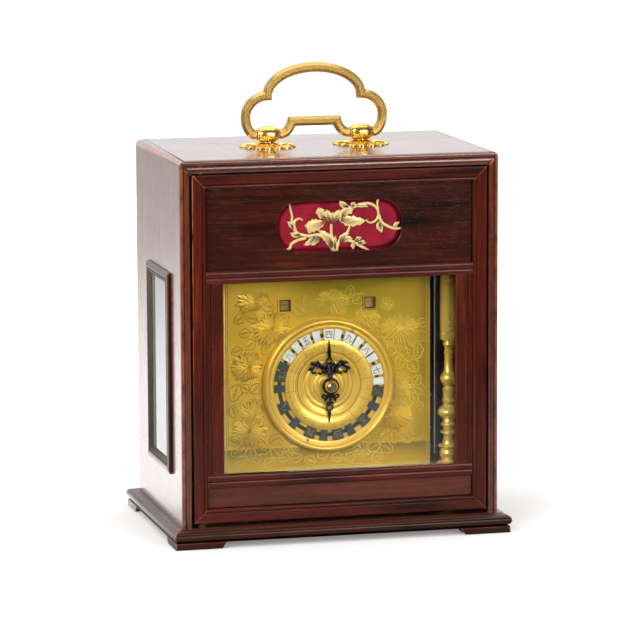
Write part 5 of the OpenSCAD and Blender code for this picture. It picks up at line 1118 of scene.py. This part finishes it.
marks = Strokes()
RING_FRONT = DIAL_Y - 2.0
DOT_R, DOT_DEG, TICK_DEG = 15, 8, 22.5
for deg in range(0, 360, 30):
    marks.add(circle_path(*on_dial(DOT_R, DOT_DEG + deg), 0.16, 10), 0.12, ridge(RING_FRONT, 0.04))
    marks.add([on_dial(r, TICK_DEG + deg) for r in (12.6, 13.8, 15.2, 16.5)], 0.11, ridge(RING_FRONT, 0.05))
marks.make("ring_marks", "case", MARK, "gilt_brass")
DIAL_AT = (0, DIAL_Y, DIAL_Z)
lathe("slot_shadow", BLACK, [(18.02, 0.1), (18.02, 0.9), (19.48, 0.9), (19.48, 0.1)], DIAL_AT, (), "y", 96)
BEZEL = [(19.5, 0.0), (25.1, 0.0)] + arc_points(23.9, 1.0, 1.2, 1.75, 0, 150, 15) + [
    (22.82, 1.8), (22.72, 1.72), (22.4, 1.72), (22.3, 1.84), (22.2, 1.86), (21.5, 1.86), (21.44, 1.80),
    (21.36, 1.80), (21.3, 1.86), (21.16, 1.84), (21.16, 1.0), (19.5, 1.0)]
lathe("turned_bezel", TURNED, BEZEL, DIAL_AT, ["dial_bezel"], "y", 144, 50)
CENTRE = [(1.9, 0.0), (18.0, 0.0), (18.0, 1.0), (16.84, 1.0), (16.84, 1.94), (16.7, 2.0), (12.6, 2.0),
          (12.45, 1.9), (12.3, 1.35), (12.05, 1.3), (11.9, 1.55), (11.3, 1.6), (9.6, 1.15), (9.3, 1.1), (9.1, 1.4),
          (8.7, 1.5), (7.8, 1.35), (7.5, 1.3), (7.35, 1.75), (6.9, 1.85), (6.1, 1.75), (5.9, 2.2), (5.4, 2.35),
          (4.5, 2.35), (4.3, 2.75), (3.9, 2.85), (1.9, 2.85)]
lathe("turned_centre", TURNED, CENTRE, DIAL_AT, ["dial_centre"], "y", 144, 50)
PIN_R, PIN = 21.95, [(0, 2.3), (0.3, 2.26), (0.5, 2.12), (0.58, 1.95), (0.58, 1.8), (0, 1.8)]
for k, deg in enumerate((24, 202)):
    x, z = on_dial(PIN_R, deg)
    lathe(f"bezel_pin_{k + 1}", STEEL, PIN, (x, DIAL_Y, z), (), "y", 24)

# Numerals: single strokes in a square from -1 to 1
NUMERALS = {
    1: [[(-0.9, 0), (0.9, 0.05)]],
    2: [[(-0.6, 0.5), (0.6, 0.55)], [(-0.9, -0.6), (0.9, -0.55)]],
    3: [[(-0.7, 0.7), (0.7, 0.75)], [(-0.55, 0.02), (0.55, 0.05)], [(-0.9, -0.75), (0.9, -0.7)]],
    4: [[(-0.85, 0.75), (-0.78, -0.8)], [(-0.85, 0.75), (0.85, 0.75), (0.78, -0.8)],
        [(-0.28, 0.75), (-0.3, 0.2), (-0.55, -0.1)],
        [(0.25, 0.75), (0.25, 0.0), (0.6, 0.0)], [(-0.78, -0.72), (0.78, -0.72)]],
    5: [[(-0.8, 0.9), (0.8, 0.9)], [(0, 0.9), (-0.3, -0.85)], [(-0.7, 0.1), (0.55, 0.1), (0.45, -0.85)],
        [(-0.95, -0.88), (0.95, -0.88)]],
    6: [[(0, 1), (0.08, 0.6)], [(-0.95, 0.42), (0.95, 0.45)], [(-0.25, 0.1), (-0.45, -0.4), (-0.95, -0.95)],
        [(0.25, 0.1), (0.55, -0.4), (0.95, -0.95)]],
    7: [[(-0.95, 0.05), (0.95, 0.4)], [(-0.15, 0.95), (-0.12, -0.6), (0.2, -0.85), (0.85, -0.8), (0.9, -0.45)]],
    8: [[(-0.25, 0.7), (-0.45, -0.1), (-0.95, -0.85)], [(0.15, 0.85), (0.35, 0.1), (0.95, -0.85)]],
    9: [[(-0.2, 1), (-0.3, 0.3), (-0.55, -0.4), (-0.95, -0.9)],
        [(-0.8, 0.45), (0.45, 0.5), (0.35, -0.5), (0.5, -0.85), (0.9, -0.8), (0.95, -0.4)]],
    10: [[(-0.95, 0.15), (0.95, 0.2)], [(0, 1), (0, -1)]],
}


def numeral(strokes, n, centre, deg, size, wide, section):
    """Draws a numeral whose top points away from the dial's middle"""
    a = math.radians(deg)
    for line in NUMERALS[n]:
        path = []
        for (x0, z0), (x1, z1) in zip(line, line[1:]):
            path += [(x0 + (x1 - x0) * t / 3, z0 + (z1 - z0) * t / 3) for t in range(3)]
        placed = [at_angle(*centre, -a, size[0] * x, size[1] * z) for x, z in path + [line[-1]]]
        strokes.add(placed, wide, section)


# Where the twelve wide plaques stand, clockwise from the top, and their hours
WIDE_DEG = [0, 24, 49, 75, 100, 136, 169.8, 202, 245.6, 282, 306.7, 332.8]
ORDER = [4, 9, 8, 7, 6, 5, 4, 9, 8, 7, 6, 5]
DARK_PLAQUES = range(4, 10)
PLAQUE_R = 19
for k, (deg, n) in enumerate(zip(WIDE_DEG, ORDER)):
    on = Strokes()
    numeral(on, n, on_dial(PLAQUE_R, deg), deg, (1.35, 1.5), 0.17, ridge(RING_FRONT, 0.05))
    mat, slot = (GOLD, "dark_plaque") if k in DARK_PLAQUES else (BLACK, "silver_plaque")
    on.make(f"numeral_{k + 1}", f"hour_plaque_{k + 1}", mat, slot)
# The calendar discs turn about points below their apertures
DISC_DZ, DISC_Y = 8.0, -17.1
for side, body, count in ((-1, "stem_disc", 10), (1, "branch_disc", 12)):
    on = Strokes()
    for k in range(count):
        deg = 360 * k / count
        at = on_dial(DISC_DZ, deg, side * APERTURE_X, APERTURE_Z - DISC_DZ)
        numeral(on, k % 10 + 1, at, deg, (1.1, 1.15), 0.14, ridge(DISC_Y, 0.05))
    on.make(f"calendar_numerals_{body}", body, BLACK, "brass")

# The hand, drawn flat about its arbor and then bowed towards the dial
HAND_Y, HAND_BOW = -23.7, 2.3
STEEL_LEAF = relief(HAND_Y - 0.05, HAND_Y + 0.6, 0.16)
hand = Strokes()
HAND_LINES = (
    # heights along the middle line, half widths
    ((10.1, 12.0, 13.6, 17.0), [0.45, 0.62, 0.4, 0.08]),
    ((2.0, 5.0, 8.3), [0.7, 0.42, 0.42]),
    ((-2.0, -4.6, -7.3), [0.6, 0.4, 0.4]),
    ((-9.4, -10.6, -11.8, -14.0), [0.4, 0.6, 0.36, 0.08]),
)
for heights, widths in HAND_LINES:
    hand.add([(0, z) for z in heights], widths, STEEL_LEAF)
for z, r, half, steps in ((9.2, 0.95, 0.32, 20), (0, 2.15, 1.0, 40), (-8.4, 1.15, 0.32, 20)):
    hand.add(circle_path(0, z, r, steps), half, STEEL_LEAF)
HAND_VINES = (
    ([(0.3, 3.2), (1.5, 6.0), (3.5, 7.7), (5.6, 7.3), (6.7, 5.8), (6.1, 4.8), (5.2, 5.4)], (0.42, 0.34)),
    ([(3.2, 7.4), (3.0, 5.4), (3.9, 4.5), (4.4, 5.2)], (0.34, 0.26)),
    ([(0.3, -2.6), (1.4, -3.5), (2.8, -3.2), (3.0, -4.3), (2.2, -4.5)], (0.36, 0.3)),
)
HAND_LEAVES = (
    # base, tip, width, bow
    ((1.9, 6.4), (4.4, 9.6), 1.6, -0.16), ((3.9, 7.5), (7.4, 8.2), 1.4, 0.18), ((1.2, 5.0), (3.2, 5.0), 1.2, 0.1),
    ((0.3, 6.2), (1.7, 9.0), 1.1, -0.14), ((6.2, 6.8), (7.9, 5.6), 1.0, 0.2), ((0.3, -3.6), (2.1, -6.2), 1.2, 0.16),
    ((0.2, -6.0), (1.4, -7.4), 0.9, 0.1),
)
for side in (-1, 1):
    for points, widths in HAND_VINES:
        hand.vine([(x * side, z) for x, z in points], widths, STEEL_LEAF)
    for base, tip, width, bow in HAND_LEAVES:
        hand.leaf((base[0] * side, base[1]), (tip[0] * side, tip[1]), width, STEEL_LEAF, bow * side, 0.9)
hand.verts = [(x, y + HAND_BOW * min(math.hypot(x, z) / 9, 1) ** 1.5, z + DIAL_Z) for x, y, z in hand.verts]
hand.make("blued_hand", "hand", BLUED, "blued_steel", ["hand"], 45)
COLLET = [(1.1, 4.6), (2.47, 4.6)] + arc_points(0, 5.2, 2.47, 2.47, 0, 60, 10) + [(1.12, 7.2), (1.1, 6.8), (1.1, 4.6)]
lathe("hand_collet", GOLD, COLLET, DIAL_AT, (), "y", 48, body="hand")


# The corner columns
def swell(z, half, low, high):
    """Round moulding on a turned piece, about the height z"""
    return [(low + (high - low) * math.cos(math.radians(a)), z + half * a / 90) for a in range(-90, 91, 15)]


FRAME_Z0, COLUMN_H, COLUMN_R, FOOT_R = 19.5, 76.5, 3.25, 4.1
SHAFT = [
    (0, 0), (FOOT_R, 0), (FOOT_R, 3.6), (3.8, 3.9), (3.3, 4.2), *swell(7.0, 2.4, 2.3, 3.4), *swell(10, 0.8, 2.4, 4.1),
    (2.3, 11.2), (1.7, 13.4), *swell(15.1, 0.9, 2, 3), *swell(18.1, 0.9, 2, 3), (2.2, 19.4),
    *swell(22.8, 2.7, 2, 4.1), (2.1, 26.5), (2.6, 27.1), (2.1, 27.7), (2.05, 29.5), (2.3, 31.5), (1.7, 32.4),
    *swell(35.4, 2.8, 1.8, 3.2), (1.6, 42), (1.6, 45.0), (1.95, 45.3), (1.6, 45.7), (1.6, 47.3),
    (COLUMN_R - 1.5, 47.6), (COLUMN_R - 1.1, 48.3), (COLUMN_R - 1.4, 50), (COLUMN_R - 0.1, 50.2), (COLUMN_R, 50.5),
    (COLUMN_R, COLUMN_H - 0.1), (0, COLUMN_H - 0.1)]
FOOT = [(0, 0.02), (FOOT_R, 0.02), (FOOT_R, 1.5), *swell(5.8, 2.7, 2.4, FOOT_R - 0.3), (FOOT_R, 8.6), (FOOT_R, 9.9),
        (0, 9.9)]
NUT = [(0, 98.1), (3.2, 98.2), (3.2, 98.6), (2.4, 99.4), (0, 99.6)]
COLUMN_X, COLUMN_Y = 46.4, 19.5
for i, (x, y) in enumerate((sx * COLUMN_X, sy * COLUMN_Y) for sy in (-1, 1) for sx in (-1, 1)):
    for kind, profile, z, segments in (("", SHAFT, FRAME_Z0, 56), ("foot_", FOOT, BASE_Z, 48), ("nut_", NUT, 0, 48)):
        lathe(f"column_{kind}{i + 1}", GOLD_COLUMN, profile, (x, y, z), ["corner_columns"], "z", segments)

# The CAD nodes that show as they are
NODE_LOOKS = (
    (BRASS, "handle_nuts movement_base_plate movement_top_plate train_front_plate train_back_plate "
            "mainspring_barrel fusee second_wheel third_wheel crown_wheel balance balance_cock strike_barrel "
            "pin_wheel fly count_wheel bell_stand"),
    (STEEL, "hand_arbor fusee_chain hammer"), (BELL, "bell"), (GOLD, "back_door_knob"), (BLACK, "door_pivots"),
    (SIDE_PANE, "side_window_glass"), (DOOR_PANE, "door_glass"), (PLATE, "dial_plate"),
    (DISC, "stem_calendar_disc branch_calendar_disc"),
) + tuple((DARK if i in DARK_PLAQUES else SILVER, f"hour_plaque_{i + 1}") for i in range(12))
for mat, names in NODE_LOOKS:
    for name in names.split():
        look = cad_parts[name].data.materials
        look.clear()
        look.append(mat)
